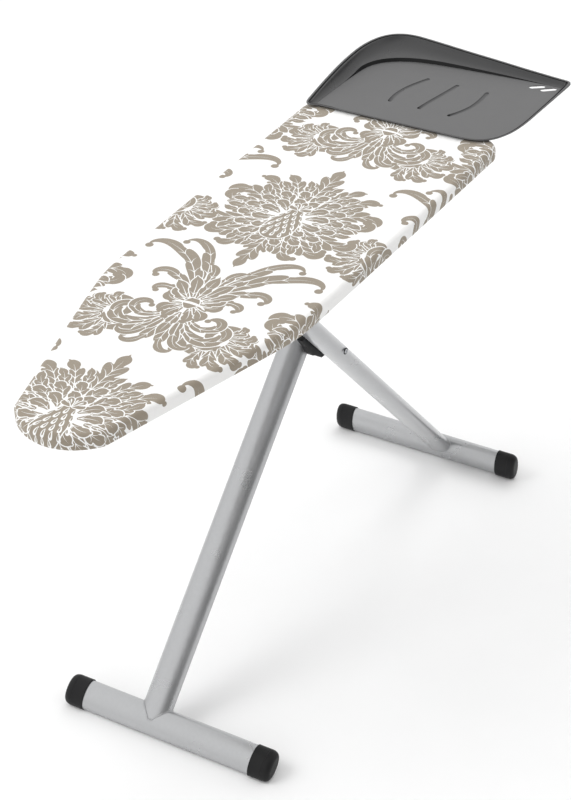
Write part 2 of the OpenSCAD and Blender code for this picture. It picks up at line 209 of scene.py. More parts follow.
# ------------------------------------------------------------------ materials
class Mat:
    """A node material with a Principled shader; constant values go straight on its sockets."""

    def __init__(self, name, color, rough, metal=0.0, **kw):
        self.m = bpy.data.materials.new(name)
        self.m.use_nodes = True
        self.nt = self.m.node_tree
        self.b = next(n for n in self.nt.nodes if n.type == "BSDF_PRINCIPLED")
        self.b.inputs["Base Color"].default_value = (*color, 1)
        self.b.inputs["Roughness"].default_value = rough
        self.b.inputs["Metallic"].default_value = metal
        for k, v in kw.items():
            self.b.inputs[k.replace("_", " ")].default_value = v
        self.coord = self.node("ShaderNodeTexCoord")
        self.last = None

    def node(self, kind, **kw):
        n = self.nt.nodes.new(kind)
        for k, v in kw.items():
            setattr(n, k, v)
        return n

    def link(self, a, b):
        self.nt.links.new(a, b)

    def noise(self, scale, detail=3, rough=0.55, stretch=None, space="Object"):
        n = self.node("ShaderNodeTexNoise")
        n.inputs["Scale"].default_value = scale
        n.inputs["Detail"].default_value = detail
        n.inputs["Roughness"].default_value = rough
        src = self.coord.outputs[space]
        if stretch:
            mp = self.node("ShaderNodeMapping")
            mp.inputs["Scale"].default_value = stretch
            self.link(src, mp.inputs["Vector"])
            src = mp.outputs["Vector"]
        self.link(src, n.inputs["Vector"])
        return n.outputs["Fac"]

    def ramp(self, fac, stops):
        r = self.node("ShaderNodeValToRGB")
        e = r.color_ramp.elements
        e[0].position, e[0].color = stops[0][0], (*stops[0][1], 1)
        e[1].position, e[1].color = stops[-1][0], (*stops[-1][1], 1)
        for p, c in stops[1:-1]:
            k = e.new(p)
            k.color = (*c, 1)
        self.link(fac, r.inputs["Fac"])
        return r.outputs["Color"]

    def span(self, fac, lo, hi, a=0.3, b=0.7):
        r = self.node("ShaderNodeMapRange")
        for k, v in (("From Min", a), ("From Max", b), ("To Min", lo), ("To Max", hi)):
            r.inputs[k].default_value = v
        self.link(fac, r.inputs["Value"])
        return r.outputs["Result"]

    def color(self, out):
        self.link(out, self.b.inputs["Base Color"])
        return self

    def rough(self, out):
        self.link(out, self.b.inputs["Roughness"])
        return self

    def bump(self, height, dist, strength=1.0):
        n = self.node("ShaderNodeBump")
        n.inputs["Distance"].default_value = dist
        n.inputs["Strength"].default_value = strength
        self.link(height, n.inputs["Height"])
        if self.last:
            self.link(self.last, n.inputs["Normal"])
        self.last = n.outputs["Normal"]
        self.link(self.last, self.b.inputs["Normal"])
        return self

    def math(self, op, a, b=None):
        n = self.node("ShaderNodeMath", operation=op)
        for i, v in enumerate((a, b)):
            if v is None:
                continue
            if isinstance(v, (int, float)):
                n.inputs[i].default_value = v
            else:
                self.link(v, n.inputs[i])
        return n.outputs[0]


def near(c, k):
    return tuple(max(0.0, min(1.0, x * k)) for x in c)


def cloth(name, color, weave=0.00055, tint=0.03, relief=0.00009, spots=None):
    """Plain-woven cotton: threads over and under in the sheet's own flat coordinates, slubs, and a little unevenness."""
    m = Mat(name, color, 0.9, Sheen_Weight=0.25, Sheen_Roughness=0.5)
    m.b.inputs["Specular IOR Level"].default_value = 0.25
    sep = m.node("ShaderNodeSeparateXYZ")
    m.link(m.coord.outputs["UV"], sep.inputs[0])
    k = 2 * math.pi / weave
    u = m.math("SINE", m.math("MULTIPLY", sep.outputs["X"], k))
    v = m.math("SINE", m.math("MULTIPLY", sep.outputs["Y"], k))
    over = m.math("MULTIPLY", u, v)
    slub = m.noise(900, 2, stretch=(1, 0.12, 1), space="UV")
    patch = m.noise(9, 3)
    fac = m.math("ADD", m.math("MULTIPLY", slub, 0.5), m.math("MULTIPLY", patch, 0.5))
    m.color(m.ramp(fac, [(0.3, near(color, 1 - tint)), (0.5, color), (0.7, near(color, 1 + tint))]))
    m.rough(m.span(slub, 0.84, 0.95))
    m.bump(patch, 0.0006, 0.25)
    m.bump(m.math("ADD", over, m.math("MULTIPLY", slub, 1.2)), relief, 0.6)
    return m


def paint(name, color, rough, metal, flake=0.02, orange=0.000015):
    """Satin metallic paint: fine flake, a faint orange peel, and roughness that varies a little."""
    m = Mat(name, color, rough, metal)
    m.b.inputs["Coat Weight"].default_value = 0.12
    m.b.inputs["Coat Roughness"].default_value = 0.18
    fl = m.noise(150, 1, 0.4)
    big = m.noise(14, 3)
    fac = m.math("ADD", m.math("MULTIPLY", fl, 0.55), m.math("MULTIPLY", big, 0.45))
    m.color(m.ramp(fac, [(0.32, near(color, 1 - flake)), (0.5, color), (0.68, near(color, 1 + flake))]))
    m.rough(m.span(big, rough - 0.04, rough + 0.05))
    m.bump(m.noise(60, 1), orange, 0.3)
    return m


def metal(name, color, rough, streak=(1, 1, 1), relief=0.00003, mottled=0.10):
    """Bare or zinc-plated steel with rolling streaks and a mottled bloom."""
    m = Mat(name, color, rough, 1.0)
    s = m.noise(700, 3, stretch=streak)
    b = m.noise(38, 4, 0.65)
    fac = m.math("ADD", m.math("MULTIPLY", s, 0.4), m.math("MULTIPLY", b, 0.6))
    m.color(m.ramp(fac, [(0.33, near(color, 1 - mottled)), (0.5, color), (0.68, near(color, 1 + mottled))]))
    m.rough(m.span(fac, rough - 0.08, rough + 0.1))
    m.bump(s, relief, 0.5)
    return m


def plastic(name, color, rough, grain=0.00005, scale=1500, wear=0.06, shine=0.5):
    """Moulded plastic with a spark-eroded grain."""
    m = Mat(name, color, rough)
    g = m.noise(scale, 2, 0.5)
    b = m.noise(22, 3)
    fac = m.math("ADD", m.math("MULTIPLY", g, 0.4), m.math("MULTIPLY", b, 0.6))
    m.color(m.ramp(fac, [(0.34, near(color, 1 - wear)), (0.5, color), (0.66, near(color, 1 + wear))]))
    m.rough(m.span(b, rough - 0.04, rough + 0.06))
    m.bump(g, grain, 0.6)
    m.b.inputs["Specular IOR Level"].default_value = shine
    return m


WHITE = cloth("cover_white", (0.90, 0.895, 0.885)).m
TAUPE = cloth("cover_taupe", (0.305, 0.262, 0.206), tint=0.05).m
LINING = cloth("cover_lining", (0.86, 0.85, 0.82), tint=0.04).m
CORD = cloth("cord_cotton", (0.80, 0.79, 0.75), weave=0.0011, relief=0.00025).m
SILVER = paint("silver_paint", (0.485, 0.49, 0.498), 0.30, 0.85).m
FRAME_GREY = paint("frame_paint", (0.36, 0.37, 0.38), 0.42, 0.6).m
ZINC = metal("zinc_plate", (0.66, 0.67, 0.69), 0.32, (1, 0.08, 1)).m
STEEL = metal("spring_steel", (0.50, 0.51, 0.52), 0.34, (0.06, 1, 1)).m
BLACK = plastic("black_plastic", (0.011, 0.011, 0.0115), 0.42, shine=0.22).m
# one grey tray plastic in three copies: tray_satin is its own colour; the darker gloss copy (its lower roughness a real
# finish) is painted shade for the walls, groove channels, slot sides and underside, and the near-black copy is painted
# shadow for the riser, the rim's groove and the groove ends
TRAY = plastic("tray_satin", (0.128, 0.128, 0.129), 0.5, grain=0.00001, scale=2200, wear=0.03, shine=0.3).m
TRAY_GLOSS_PAINTED_SHADE = plastic("tray_gloss_painted_shade", (0.052, 0.052, 0.053), 0.30, grain=0.00001, scale=900, wear=0.03, shine=0.4).m
TRAY_PAINTED_SHADOW = plastic("tray_painted_shadow", (0.012, 0.012, 0.0125), 0.34, grain=0.00001, scale=900, wear=0.03, shine=0.25).m


def foam_material():
    """Open-cell foam: cells in three sizes that pit the surface, their depths darkened as painted shade."""
    m = Mat("pad_foam", (0.80, 0.78, 0.73), 0.95)
    v = m.node("ShaderNodeTexVoronoi")
    v.inputs["Scale"].default_value = 750
    m.link(m.coord.outputs["Object"], v.inputs["Vector"])
    n = m.noise(300, 4, 0.6)
    fac = m.math("ADD", m.math("MULTIPLY", v.outputs["Distance"], 0.7), m.math("MULTIPLY", n, 0.5))
    m.color(m.ramp(fac, [(0.2, (0.66, 0.63, 0.56)), (0.45, (0.80, 0.78, 0.73)), (0.8, (0.86, 0.85, 0.81))]))
    m.bump(fac, 0.0004, 0.8)
    return m


FOAM = foam_material().m


# ------------------------------------------------------------------ board outline
lo, hi = (np.array(v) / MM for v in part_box("fabric_cover"))
NOSE_X, END_X, TOP_Z, LOW_Z = lo[0], hi[0], hi[2], lo[2]
HALF_W, CORNER = 211.0, 45.0


def low(a, b, k):
    return (a + b - np.sqrt((a - b) ** 2 + k * k)) / 2


def plan_w(x):
    s = np.asarray(x, float) - NOSE_X
    nose = np.where(s >= 135, 1000.0, 120 * np.sqrt(np.maximum(0, 1 - ((135 - s) / 135) ** 2)))
    side = low(HALF_W - 54.9 + 0.275 * (s + NOSE_X + 500), HALF_W + 0.0135 * (s + NOSE_X + 200), 9)
    return low(side, nose, np.where(s < 135, 4 * s / 135, 0))


def board_outline():
    """The plan's edge every millimetre or so, anticlockwise from the nose, with outward normals and curvature."""
    xs = np.concatenate([NOSE_X + 135 * (1 - np.cos(np.linspace(0, np.pi / 2, 80))), np.linspace(NOSE_X + 135, END_X - CORNER, 160)[1:]])
    half = np.stack([xs, plan_w(xs)], 1)
    w = float(plan_w(END_X))
    a = np.linspace(0, np.pi / 2, 26)[1:]
    arc = np.stack([END_X - CORNER + CORNER * np.sin(a), w - CORNER + CORNER * np.cos(a)], 1)
    half = np.concatenate([half, arc])
    loop = np.concatenate([half * [1, -1], half[::-1][:-1]])
    keep = np.concatenate([[True], np.linalg.norm(np.diff(loop, axis=0), axis=1) > 1e-6])
    loop = loop[keep]
    d = np.linalg.norm(np.roll(loop, -1, 0) - loop, axis=1)
    s = np.concatenate([[0], np.cumsum(d)])
    full = np.concatenate([loop, loop[:1]])
    n = int(s[-1])
    q = np.linspace(0, s[-1], n, endpoint=False)
    p = np.stack([np.interp(q, s, full[:, 0]), np.interp(q, s, full[:, 1])], 1)
    t = np.roll(p, -4, 0) - np.roll(p, 4, 0)
    t /= np.linalg.norm(t, axis=1)[:, None]
    for _ in range(3):
        t = (np.roll(t, -2, 0) + 2 * t + np.roll(t, 2, 0))
        t /= np.linalg.norm(t, axis=1)[:, None]
    nrm = np.stack([t[:, 1], -t[:, 0]], 1)
    k = np.abs(np.arctan2(*(lambda a, b: (a[:, 0] * b[:, 1] - a[:, 1] * b[:, 0], np.einsum("ij,ij->i", a, b)))(np.roll(nrm, 6, 0), np.roll(nrm, -6, 0)))) / 12
    for _ in range(12):
        k = (np.roll(k, -8) + k + np.roll(k, 8)) / 3
    return p, nrm, q, k, s[-1]


EDGE, EDGE_N, EDGE_S, EDGE_K, EDGE_L = board_outline()


def nearest_edge(q):
    """For 2-D points: how far inside the edge, distance along it, nearest edge point, normal and curvature there."""
    q = np.asarray(q, float)
    out = [np.zeros(len(q)), np.zeros(len(q)), np.zeros((len(q), 2)), np.zeros((len(q), 2)), np.zeros(len(q))]
    m = len(EDGE)
    seg = np.roll(EDGE, -1, 0) - EDGE
    for a in range(0, len(q), 1500):
        c = q[a:a + 1500]
        i = np.argmin((c[:, :1] - EDGE[None, :, 0]) ** 2 + (c[:, 1:] - EDGE[None, :, 1]) ** 2, axis=1)
        best, bd = None, None
        for off in (-1, 0):
            j = (i + off) % m
            t = np.clip(np.einsum("ij,ij->i", c - EDGE[j], seg[j]) / np.einsum("ij,ij->i", seg[j], seg[j]), 0, 1)
            p = EDGE[j] + seg[j] * t[:, None]
            dd = np.linalg.norm(c - p, axis=1)
            if best is None:
                best, bd = [j, t], dd
            else:
                w = dd < bd
                best = [np.where(w, j, best[0]), np.where(w, t, best[1])]
        j, t = best
        k = (j + 1) % m
        p = EDGE[j] + seg[j] * t[:, None]
        n = EDGE_N[j] * (1 - t)[:, None] + EDGE_N[k] * t[:, None]
        n /= np.linalg.norm(n, axis=1)[:, None]
        sl = slice(a, a + 1500)
        out[0][sl] = -np.einsum("ij,ij->i", c - p, n)
        out[1][sl] = EDGE_S[j] + t * EDGE_L / m
        out[2][sl], out[3][sl] = p, n
        out[4][sl] = EDGE_K[j] * (1 - t) + EDGE_K[k] * t
    return out


def path_of(pieces, step=0.25):
    """A profile as a dense polyline: pieces are functions of their own length."""
    pts = []
    for length, f in pieces:
        n = max(2, int(length / step))
        for k in range(n):
            pts.append(f(length * k / n))
    pts.append(pieces[-1][1](pieces[-1][0]))
    return np.array(pts)


# the cloth's cross-section, from the flat top over the edge to the hem and round the drawstring
ROLL, TUCK, CASE_R = 11.0, 6.0, 1.6
CASE_O, CASE_Z = -14.25, LOW_Z - 1.2
drop_len = (TOP_Z - ROLL) - (LOW_Z + TUCK)
hem_len = (ROLL - TUCK) - CASE_O


def hem(s):
    t = s / hem_len
    e = t * t * (3 - 2 * t)
    return (ROLL - TUCK - s, LOW_Z + (CASE_Z - CASE_R - LOW_Z) * e)


SECTION = path_of([
    (ROLL * math.pi / 2, lambda s: (ROLL * math.sin(s / ROLL), TOP_Z - ROLL * (1 - math.cos(s / ROLL)))),
    (drop_len, lambda s: (ROLL, TOP_Z - ROLL - s)),
    (TUCK * math.pi / 2, lambda s: (ROLL - TUCK + TUCK * math.cos(s / TUCK), LOW_Z + TUCK - TUCK * math.sin(s / TUCK))),
    (hem_len, hem),
    (CASE_R * math.radians(300), lambda s: (CASE_O - CASE_R * math.sin(s / CASE_R), CASE_Z - CASE_R * math.cos(s / CASE_R)))])
SEC_U = np.concatenate([[0], np.cumsum(np.linalg.norm(np.diff(SECTION, axis=0), axis=1))])
SEC_T = np.gradient(SECTION, axis=0)
SEC_T /= np.linalg.norm(SEC_T, axis=1)[:, None]
DEEP = float(SEC_U[-1])
HEM_U = float(SEC_U[np.argmin(np.abs(SEC_U - (ROLL * math.pi / 2 + drop_len + TUCK * math.pi / 2)))])


def wrap(q):
    """Flat cloth coordinates to where that point lies on the board, with its normal and the length past the roll's start."""
    q = np.asarray(q, float)
    pos = np.concatenate([q, np.full((len(q), 1), TOP_Z)], 1)
    nor = np.tile([0.0, 0.0, 1.0], (len(q), 1))
    u = np.full(len(q), -1.0)
    roomy = (q[:, 0] > NOSE_X + 60) & (q[:, 0] < END_X - 60) & (np.abs(q[:, 1]) < plan_w(q[:, 0]) - 40)
    idx = np.nonzero(~roomy)[0]
    d, s, p, n, k = nearest_edge(q[idx])
    uu = ROLL - d
    w = uu > 0
    idx, uu, s, p, n, k = idx[w], uu[w], s[w], p[w], n[w], k[w]
    uc = np.clip(uu, 0, DEEP)
    o = np.interp(uc, SEC_U, SECTION[:, 0]) - ROLL
    z = np.interp(uc, SEC_U, SECTION[:, 1])
    to, tz = np.interp(uc, SEC_U, SEC_T[:, 0]), np.interp(uc, SEC_U, SEC_T[:, 1])
    ln = np.hypot(to, tz)
    to, tz = to / ln, tz / ln
    # the drawstring gathers the hem into small folds where the edge curves
    g = np.clip(k * 130 - 0.15, 0, 1) * np.clip((uc - HEM_U + 4) / 14, 0, 1)
    g = g * g * (3 - 2 * g)
    ph = 2 * np.pi * s / 10.5 + 1.3 * np.sin(s / 23.0) + 0.9 * np.sin(s / 9.1 + 1)
    fold = g * 1.5 * (0.5 - 0.5 * np.cos(ph)) * np.where(uc > DEEP - 9, 0.6, 1.0)
    edge_fold = g * 0.8 * np.sin(ph)
    pos[idx, :2] = p + n * (o + edge_fold * (uc < DEEP - 9))[:, None]
    pos[idx, 2] = z - fold
    nor[idx] = np.concatenate([n * (-tz)[:, None], to[:, None]], 1)
    u[idx] = uu
    return pos, nor, u
# ---------------------------------------------------------------- damask print
# A generic damask drawn from leaf and scroll rules, in millimetres. Each shape is (ink, points):
# ink 1 is the taupe print and 0 the white ground showing through; later shapes lie over earlier ones.

def bez(p0, p1, p2, p3, n):
    t = np.linspace(0, 1, n)[:, None]
    p0, p1, p2, p3 = (np.array(p, float) for p in (p0, p1, p2, p3))
    return (1 - t) ** 3 * p0 + 3 * (1 - t) ** 2 * t * p1 + 3 * (1 - t) * t ** 2 * p2 + t ** 3 * p3


def arc_len(sp):
    d = np.hypot(*np.diff(sp, axis=0).T)
    return np.concatenate([[0], np.cumsum(d)])


def frames(sp):
    tan = np.gradient(sp, axis=0)
    tan /= np.maximum(1e-9, np.hypot(tan[:, 0], tan[:, 1]))[:, None]
    return tan, np.stack([-tan[:, 1], tan[:, 0]], 1)


def side(sp, width, lobes, depth, lean, sign, power=1.0):
    """One edge of a leaf: rounded lobes that lean forward, with sharp notches between them."""
    tan, nor = frames(sp)
    t = arc_len(sp)
    t = t / t[-1]
    base = width(t)
    if lobes:
        ph = (t ** power) * lobes
        saw = ph - np.floor(ph)
        bump = np.sqrt(np.clip(1 - (saw - 0.42) ** 2 / 0.42 ** 2, 0, 1)) * (saw < 0.84) + 0.0
        bump = np.where(saw >= 0.84, 0.0, bump)
        w = base * (1 - depth + depth * bump)
        push = base * lean * bump
    else:
        w, push = base, base * 0
    return sp + sign * nor * w[:, None] + tan * push[:, None]


def vein(sp, w, t0=0.0, t1=0.8):
    n = len(sp)
    s = sp[int(n * t0):max(int(n * t1), int(n * t0) + 4)]
    tan, nor = frames(s)
    k = np.linspace(0, 1, len(s))
    ww = w * (1 - k) ** 0.7
    return np.concatenate([s + nor * ww[:, None], (s - nor * ww[:, None])[::-1]])


def drop(c, ang, l, w, n=16):
    t = np.linspace(0, 2 * np.pi, n, endpoint=False)
    x = l * (0.5 - 0.5 * np.cos(t))
    y = w * np.sin(t) * (0.25 + 0.75 * (0.5 - 0.5 * np.cos(t)))
    ca, sa = math.cos(ang), math.sin(ang)
    return np.stack([c[0] + x * ca - y * sa, c[1] + x * sa + y * ca], 1)


def grown(poly, d):
    """The outline moved outwards by d (for the white line that parts two leaves)."""
    a = np.roll(poly, 1, 0)
    b = np.roll(poly, -1, 0)
    t = b - a
    t /= np.maximum(1e-9, np.hypot(t[:, 0], t[:, 1]))[:, None]
    area = 0.5 * np.sum(poly[:, 0] * np.roll(poly[:, 1], -1) - np.roll(poly[:, 0], -1) * poly[:, 1])
    s = 1 if area > 0 else -1
    return poly + d * s * np.stack([t[:, 1], -t[:, 0]], 1)


def curl(p0, ang, length, b0, b1, power=4.0, n=0):
    """A centre line whose heading turns by b0 degrees evenly and by b1 more towards its tip."""
    n = n or int(min(64, 20 + length * 0.22))
    t = np.linspace(0, 1, n)
    th = np.radians(ang + b0 * t + b1 * t ** power)
    st = length / (n - 1)
    x = np.concatenate([[0], np.cumsum(np.cos((th[1:] + th[:-1]) / 2))]) * st
    y = np.concatenate([[0], np.cumsum(np.sin((th[1:] + th[:-1]) / 2))]) * st
    return np.stack([p0[0] + x, p0[1] + y], 1)


def blade(sp, w, one, two, tip=0.0, depth=0.4, lean=0.5, peak=0.45, skew=(1.0, 1.0), blunt=0.12):
    """A leaf whose width swells to its peak and narrows to a tip; one and two are the lobe counts of its sides."""
    def prof(t):
        a = np.clip(t / peak, 0, 1)
        b = np.clip((t - peak) / (1 - peak), 0, 1)
        up = 0.30 + 0.70 * np.sin(a * np.pi / 2) ** 1.2
        dn = (1 - blunt) * np.cos(b * np.pi / 2) ** 0.9 + blunt
        return w * np.where(t < peak, up, dn) + tip * np.clip((t - 0.8) / 0.2, 0, 1)
    a = side(sp, lambda t: prof(t) * skew[0], one, depth, lean, 1)
    b = side(sp, lambda t: prof(t) * skew[1], two, depth, lean, -1)
    return np.concatenate([a, b[::-1]])


def disc(c, r, n=18):
    t = np.linspace(0, 2 * np.pi, n, endpoint=False)
    return np.stack([c[0] + r * np.cos(t), c[1] + r * np.sin(t)], 1)


class Motif:
    def __init__(self):
        self.shapes = []

    def put(self, poly, halo=1.6, both=True, ink=1):
        for m in ((1, -1) if both else (1,)):
            p = poly * [1, m]
            if halo:
                self.shapes.append((0, grown(p, halo)))
            self.shapes.append((ink, p))

    def cut(self, poly, both=True):
        for m in ((1, -1) if both else (1,)):
            self.shapes.append((0, poly * [1, m]))

    def scroll(self, sp, w, one, two, bulb=0.0, veins=1.1, ribs=4, halo=1.8, both=True, rib_len=0.72, rib_side=(1, -1), **kw):
        """A leaf with a rounded tip, a white midrib and curved white ribs that sweep towards its lobes."""
        self.put(blade(sp, w, one, two, **kw), halo, both)
        tan, nor = frames(sp)
        if bulb:
            self.put(disc(sp[-1] - tan[-1] * bulb * 0.35, bulb), 0, both)
        if veins:
            self.cut(vein(sp, veins, 0.04, 0.84), both)
            n = len(sp)
            sk = kw.get("skew", (1.0, 1.0))
            for s in rib_side:
                for k in range(ribs):
                    i = int(n * (0.12 + 0.60 * k / max(1, ribs)))
                    l = w * rib_len * (sk[0] if s > 0 else sk[1]) * 1.25
                    a = sp[i]
                    b = a + tan[i] * l * 0.42 + nor[i] * s * l * 0.16
                    c = a + tan[i] * l * 0.78 + nor[i] * s * l * 0.40
                    d = a + tan[i] * l * 0.92 + nor[i] * s * l * 0.78
                    self.cut(vein(bez(a, b, c, d, 10), veins * 0.85, 0, 1.0), both)


def medallion():
    m = Motif()
    # curled outer leaves: base angle, inner radius, length, heading offset, even turn, tip turn, width, lobes
    for ang, r0, ln, off, b0, b1, w, la, lb, bulb in (
            (20, 84, 92, 8, 10, 40, 17, 3, 3, 0), (40, 76, 108, -4, 14, 60, 20, 4, 3, 5),
            (64, 66, 128, -8, 12, 190, 21, 4, 3, 9), (88, 64, 118, -14, 24, -215, 20, 3, 4, 9),
            (112, 66, 122, 10, -14, -185, 21, 3, 4, 9), (136, 68, 112, 12, -20, -190, 20, 3, 4, 8),
            (158, 72, 98, 4, -10, -120, 17, 3, 3, 7)):
        a = math.radians(ang)
        p0 = np.array([math.cos(a), math.sin(a)]) * r0
        m.scroll(curl(p0, ang + off, ln, b0, b1, 4.5), w, la, lb, bulb, depth=0.42, lean=0.55, peak=0.42, ribs=3)
    # the pointed end leaves on the axis
    m.scroll(curl((70, 0), 0, 140, 0, 0), 27, 4, 4, 0, both=False, depth=0.45, lean=0.6, peak=0.38, blunt=0.02, ribs=4)
    m.scroll(curl((-64, 0), 180, 142, 0, 0), 24, 4, 4, 0, both=False, depth=0.45, lean=0.6, peak=0.36, blunt=0.02, ribs=4)
    # short leaves that fill between them
    for ang, r0, ln, w, b1 in ((11, 84, 66, 10, 30), (31, 82, 66, 11, 40), (52, 76, 70, 12, -50), (76, 70, 74, 12, 50), (100, 70, 70, 12, -40), (124, 72, 72, 12, 60), (147, 74, 66, 11, 40), (169, 76, 58, 9, -30)):
        a = math.radians(ang)
        p0 = np.array([math.cos(a), math.sin(a)]) * r0
        m.scroll(curl(p0, ang, ln, 0, b1, 3), w, 3, 3, 0, depth=0.4, lean=0.5, peak=0.45, ribs=2, veins=0.8)
    # two rings of petals round the heart
    m.scroll(curl((0, 48), 90, 66, 0, 0), 14, 3, 3, 0, depth=0.35, lean=0.5, peak=0.5, ribs=2, veins=0.9, halo=2.2)
    m.scroll(curl((0, 64), 90, 74, 0, 0), 12, 3, 3, 0, depth=0.35, lean=0.5, peak=0.5, ribs=2, veins=0.9, halo=2.2)
    for k in range(8):
        ang = 11.25 + 22.5 * k
        a = math.radians(ang)
        p0 = np.array([math.cos(a), math.sin(a)]) * 50
        s = 1 if ang < 90 else -1
        m.scroll(curl(p0, ang - 14 * s, 58, 30 * s, 40 * s, 3), 13.5, 3, 3, 0, depth=0.35, lean=0.5, peak=0.5, ribs=2, veins=0.9, halo=2.2)
    for k in range(6):
        ang = 15 + 30 * k
        a = math.radians(ang)
        p0 = np.array([math.cos(a), math.sin(a)]) * 30
        s = 1 if ang < 90 else -1
        m.scroll(curl(p0, ang - 20 * s, 48, 40 * s, 30 * s, 3), 12, 2, 2, 0, depth=0.3, lean=0.4, peak=0.5, ribs=1, veins=0.9, halo=2.2)
    # the heart: a fan of white scales opening towards -X, and a small bud towards +X
    m.put(drop((50, 0), math.pi, 134, 45, 40), 2.2, False)
    for row in range(6):
        x = -66 + 17 * row
        cnt = (3, 5, 6, 5, 4, 3)[row]
        for i in range(cnt):
            y = (i - (cnt - 1) / 2) * 13.2
            ang = 180 - y * 0.9
            m.cut(drop((x + 10, y), math.radians(ang), 19, 5.4, 14), False)
            m.put(drop((x + 7.5, y), math.radians(ang), 12, 2.1, 10), 0, False)
    for ang in (0, 32, -32, 64, -64):
        a = math.radians(ang)
        m.put(drop((30 + 3 * math.cos(a), 3 * math.sin(a)), a, 30 - abs(ang) * 0.12, 8.5, 16), 1.9, False)
        m.cut(drop((38 + 3 * math.cos(a), 3 * math.sin(a) + math.sin(a) * 8), a, 13, 2.0, 10), False)
    return m.shapes


def bouquet():
    m = Motif()
    # long plumes towards +X with hooked tips
    m.scroll(curl((44, 14), 8, 222, 44, 165, 9), 15, 3, 2, 7, depth=0.36, lean=0.7, peak=0.34, ribs=4, skew=(1.15, 0.8))
    m.scroll(curl((40, 22), 20, 238, 62, 150, 10), 17, 2, 3, 8, depth=0.36, lean=0.7, peak=0.36, ribs=4, skew=(0.85, 1.15))
    m.scroll(curl((40, 28), 48, 126, 20, 215, 5), 13, 3, 2, 7, depth=0.36, lean=0.6, peak=0.4, ribs=2)
    m.scroll(curl((30, 34), 78, 74, 10, 200, 4), 10.5, 2, 2, 6, depth=0.3, lean=0.5, peak=0.4, ribs=1)
    m.scroll(curl((56, 12), 0, 92, 14, 70, 4), 10.5, 3, 2, 4, depth=0.36, lean=0.6, peak=0.4, ribs=2)
    # great leaves that roll over towards -X
    m.scroll(curl((-22, 12), 168, 322, -72, -330, 2.3, 110), 30, 0, 9, 11, depth=0.34, lean=0.55, peak=0.55, ribs=9, skew=(0.72, 0.62), rib_side=(1, -1), blunt=0.2, rib_len=0.6, veins=1.3)
    for ang, l, w, b1 in ((168, 62, 14, -120), (142, 68, 16, -110), (116, 68, 16, -120), (90, 62, 15, -120), (64, 54, 13, -130), (38, 44, 11, -130)):
        a = math.radians(ang)
        c = np.array([-84, 92]) + np.array([math.cos(a), math.sin(a)]) * 36
        m.scroll(curl(c, ang + 18, l, -10, b1, 3), w, 3, 2, w * 0.36, depth=0.4, lean=0.6, peak=0.4, ribs=2, veins=0.9)
    m.scroll(curl((-34, 14), 160, 212, -60, -290, 2.4, 80), 17, 3, 4, 8, depth=0.35, lean=0.5, peak=0.5, ribs=5, skew=(0.8, 1.0), veins=1.2, halo=2.2)
    m.scroll(curl((-40, 24), 140, 128, -70, -250, 2.2, 60), 12, 2, 3, 6, depth=0.35, lean=0.5, peak=0.5, ribs=3, veins=1.0, halo=2.2)
    # tails
    m.scroll(curl((-36, 8), 178, 150, -6, -230, 6), 12.5, 3, 3, 6.5, depth=0.4, lean=0.6, peak=0.35, ribs=3)
    m.scroll(curl((-42, 14), 168, 132, -12, -200, 5), 11, 2, 3, 6, depth=0.4, lean=0.6, peak=0.38, ribs=2)
    m.scroll(curl((-30, 0), 180, 84, 0, 0), 12, 2, 2, 0, both=False, depth=0.35, lean=0.5, peak=0.4, blunt=0.02, ribs=2)
    # knot: rounded petals either side of a white band, and a crown towards +X
    for ang, r0, l, w, b1 in ((150, 12, 50, 13, 60), (118, 14, 50, 14, 120), (88, 14, 52, 14, -120), (60, 14, 54, 14, -60)):
        a = math.radians(ang)
        m.scroll(curl(np.array([math.cos(a), math.sin(a)]) * r0, ang, l, 0, b1, 3), w, 2, 2, 6.5, depth=0.28, lean=0.4, peak=0.45, ribs=1, veins=1.0, halo=2.1)
    for ang, l, w in ((44, 66, 12), (22, 74, 13)):
        a = math.radians(ang)
        m.scroll(curl(np.array([math.cos(a), math.sin(a)]) * 24, ang, l, 0, 16), w, 2, 2, 0, depth=0.3, lean=0.4, peak=0.45, blunt=0.04, ribs=1, veins=1.0, halo=2.1)
    m.scroll(curl((22, 0), 0, 82, 0, 0), 13, 2, 2, 0, both=False, depth=0.3, lean=0.4, peak=0.45, blunt=0.02, ribs=2, veins=1.0, halo=2.1)
    m.put(blade(curl((-14, 0), 0, 34, 0, 0), 15, 0, 0, peak=0.5, blunt=0.5), 2.0, False)
    band = bez((-6, -34), (8, -18), (8, 18), (-6, 34), 24)
    m.cut(blade(band, 3.6, 0, 0, peak=0.5, blunt=0.3), False)
    return m.shapes


def inside(poly, q):
    """Which of the points q lie in the polygon (non-zero winding)."""
    x, y = q[:, 0][:, None], q[:, 1][:, None]
    a, b = poly, np.roll(poly, -1, 0)
    up = (a[:, 1] <= y) & (b[:, 1] > y)
    dn = (a[:, 1] > y) & (b[:, 1] <= y)
    cr = (b[:, 0] - a[:, 0]) * (y - a[:, 1]) - (x - a[:, 0]) * (b[:, 1] - a[:, 1])
    return ((up & (cr > 0)).sum(1) - (dn & (cr < 0)).sum(1)) != 0


def visible_edges(shapes):
    """The motif's outline edges that no later shape covers, as pairs of points."""
    boxes = [(p.min(0), p.max(0)) for _, p in shapes]
    kept = []
    for i, (_, p) in enumerate(shapes):
        q = np.roll(p, -1, 0)
        hid = np.zeros(len(p), bool)
        for j in range(i + 1, len(shapes)):
            if (boxes[j][0] > boxes[i][1]).any() or (boxes[j][1] < boxes[i][0]).any():
                continue
            r = shapes[j][1]
            hid |= inside(r, p) & inside(r, q) & inside(r, (p + q) / 2)
            if hid.all():
                break
        kept.append((p, ~hid))
    return kept


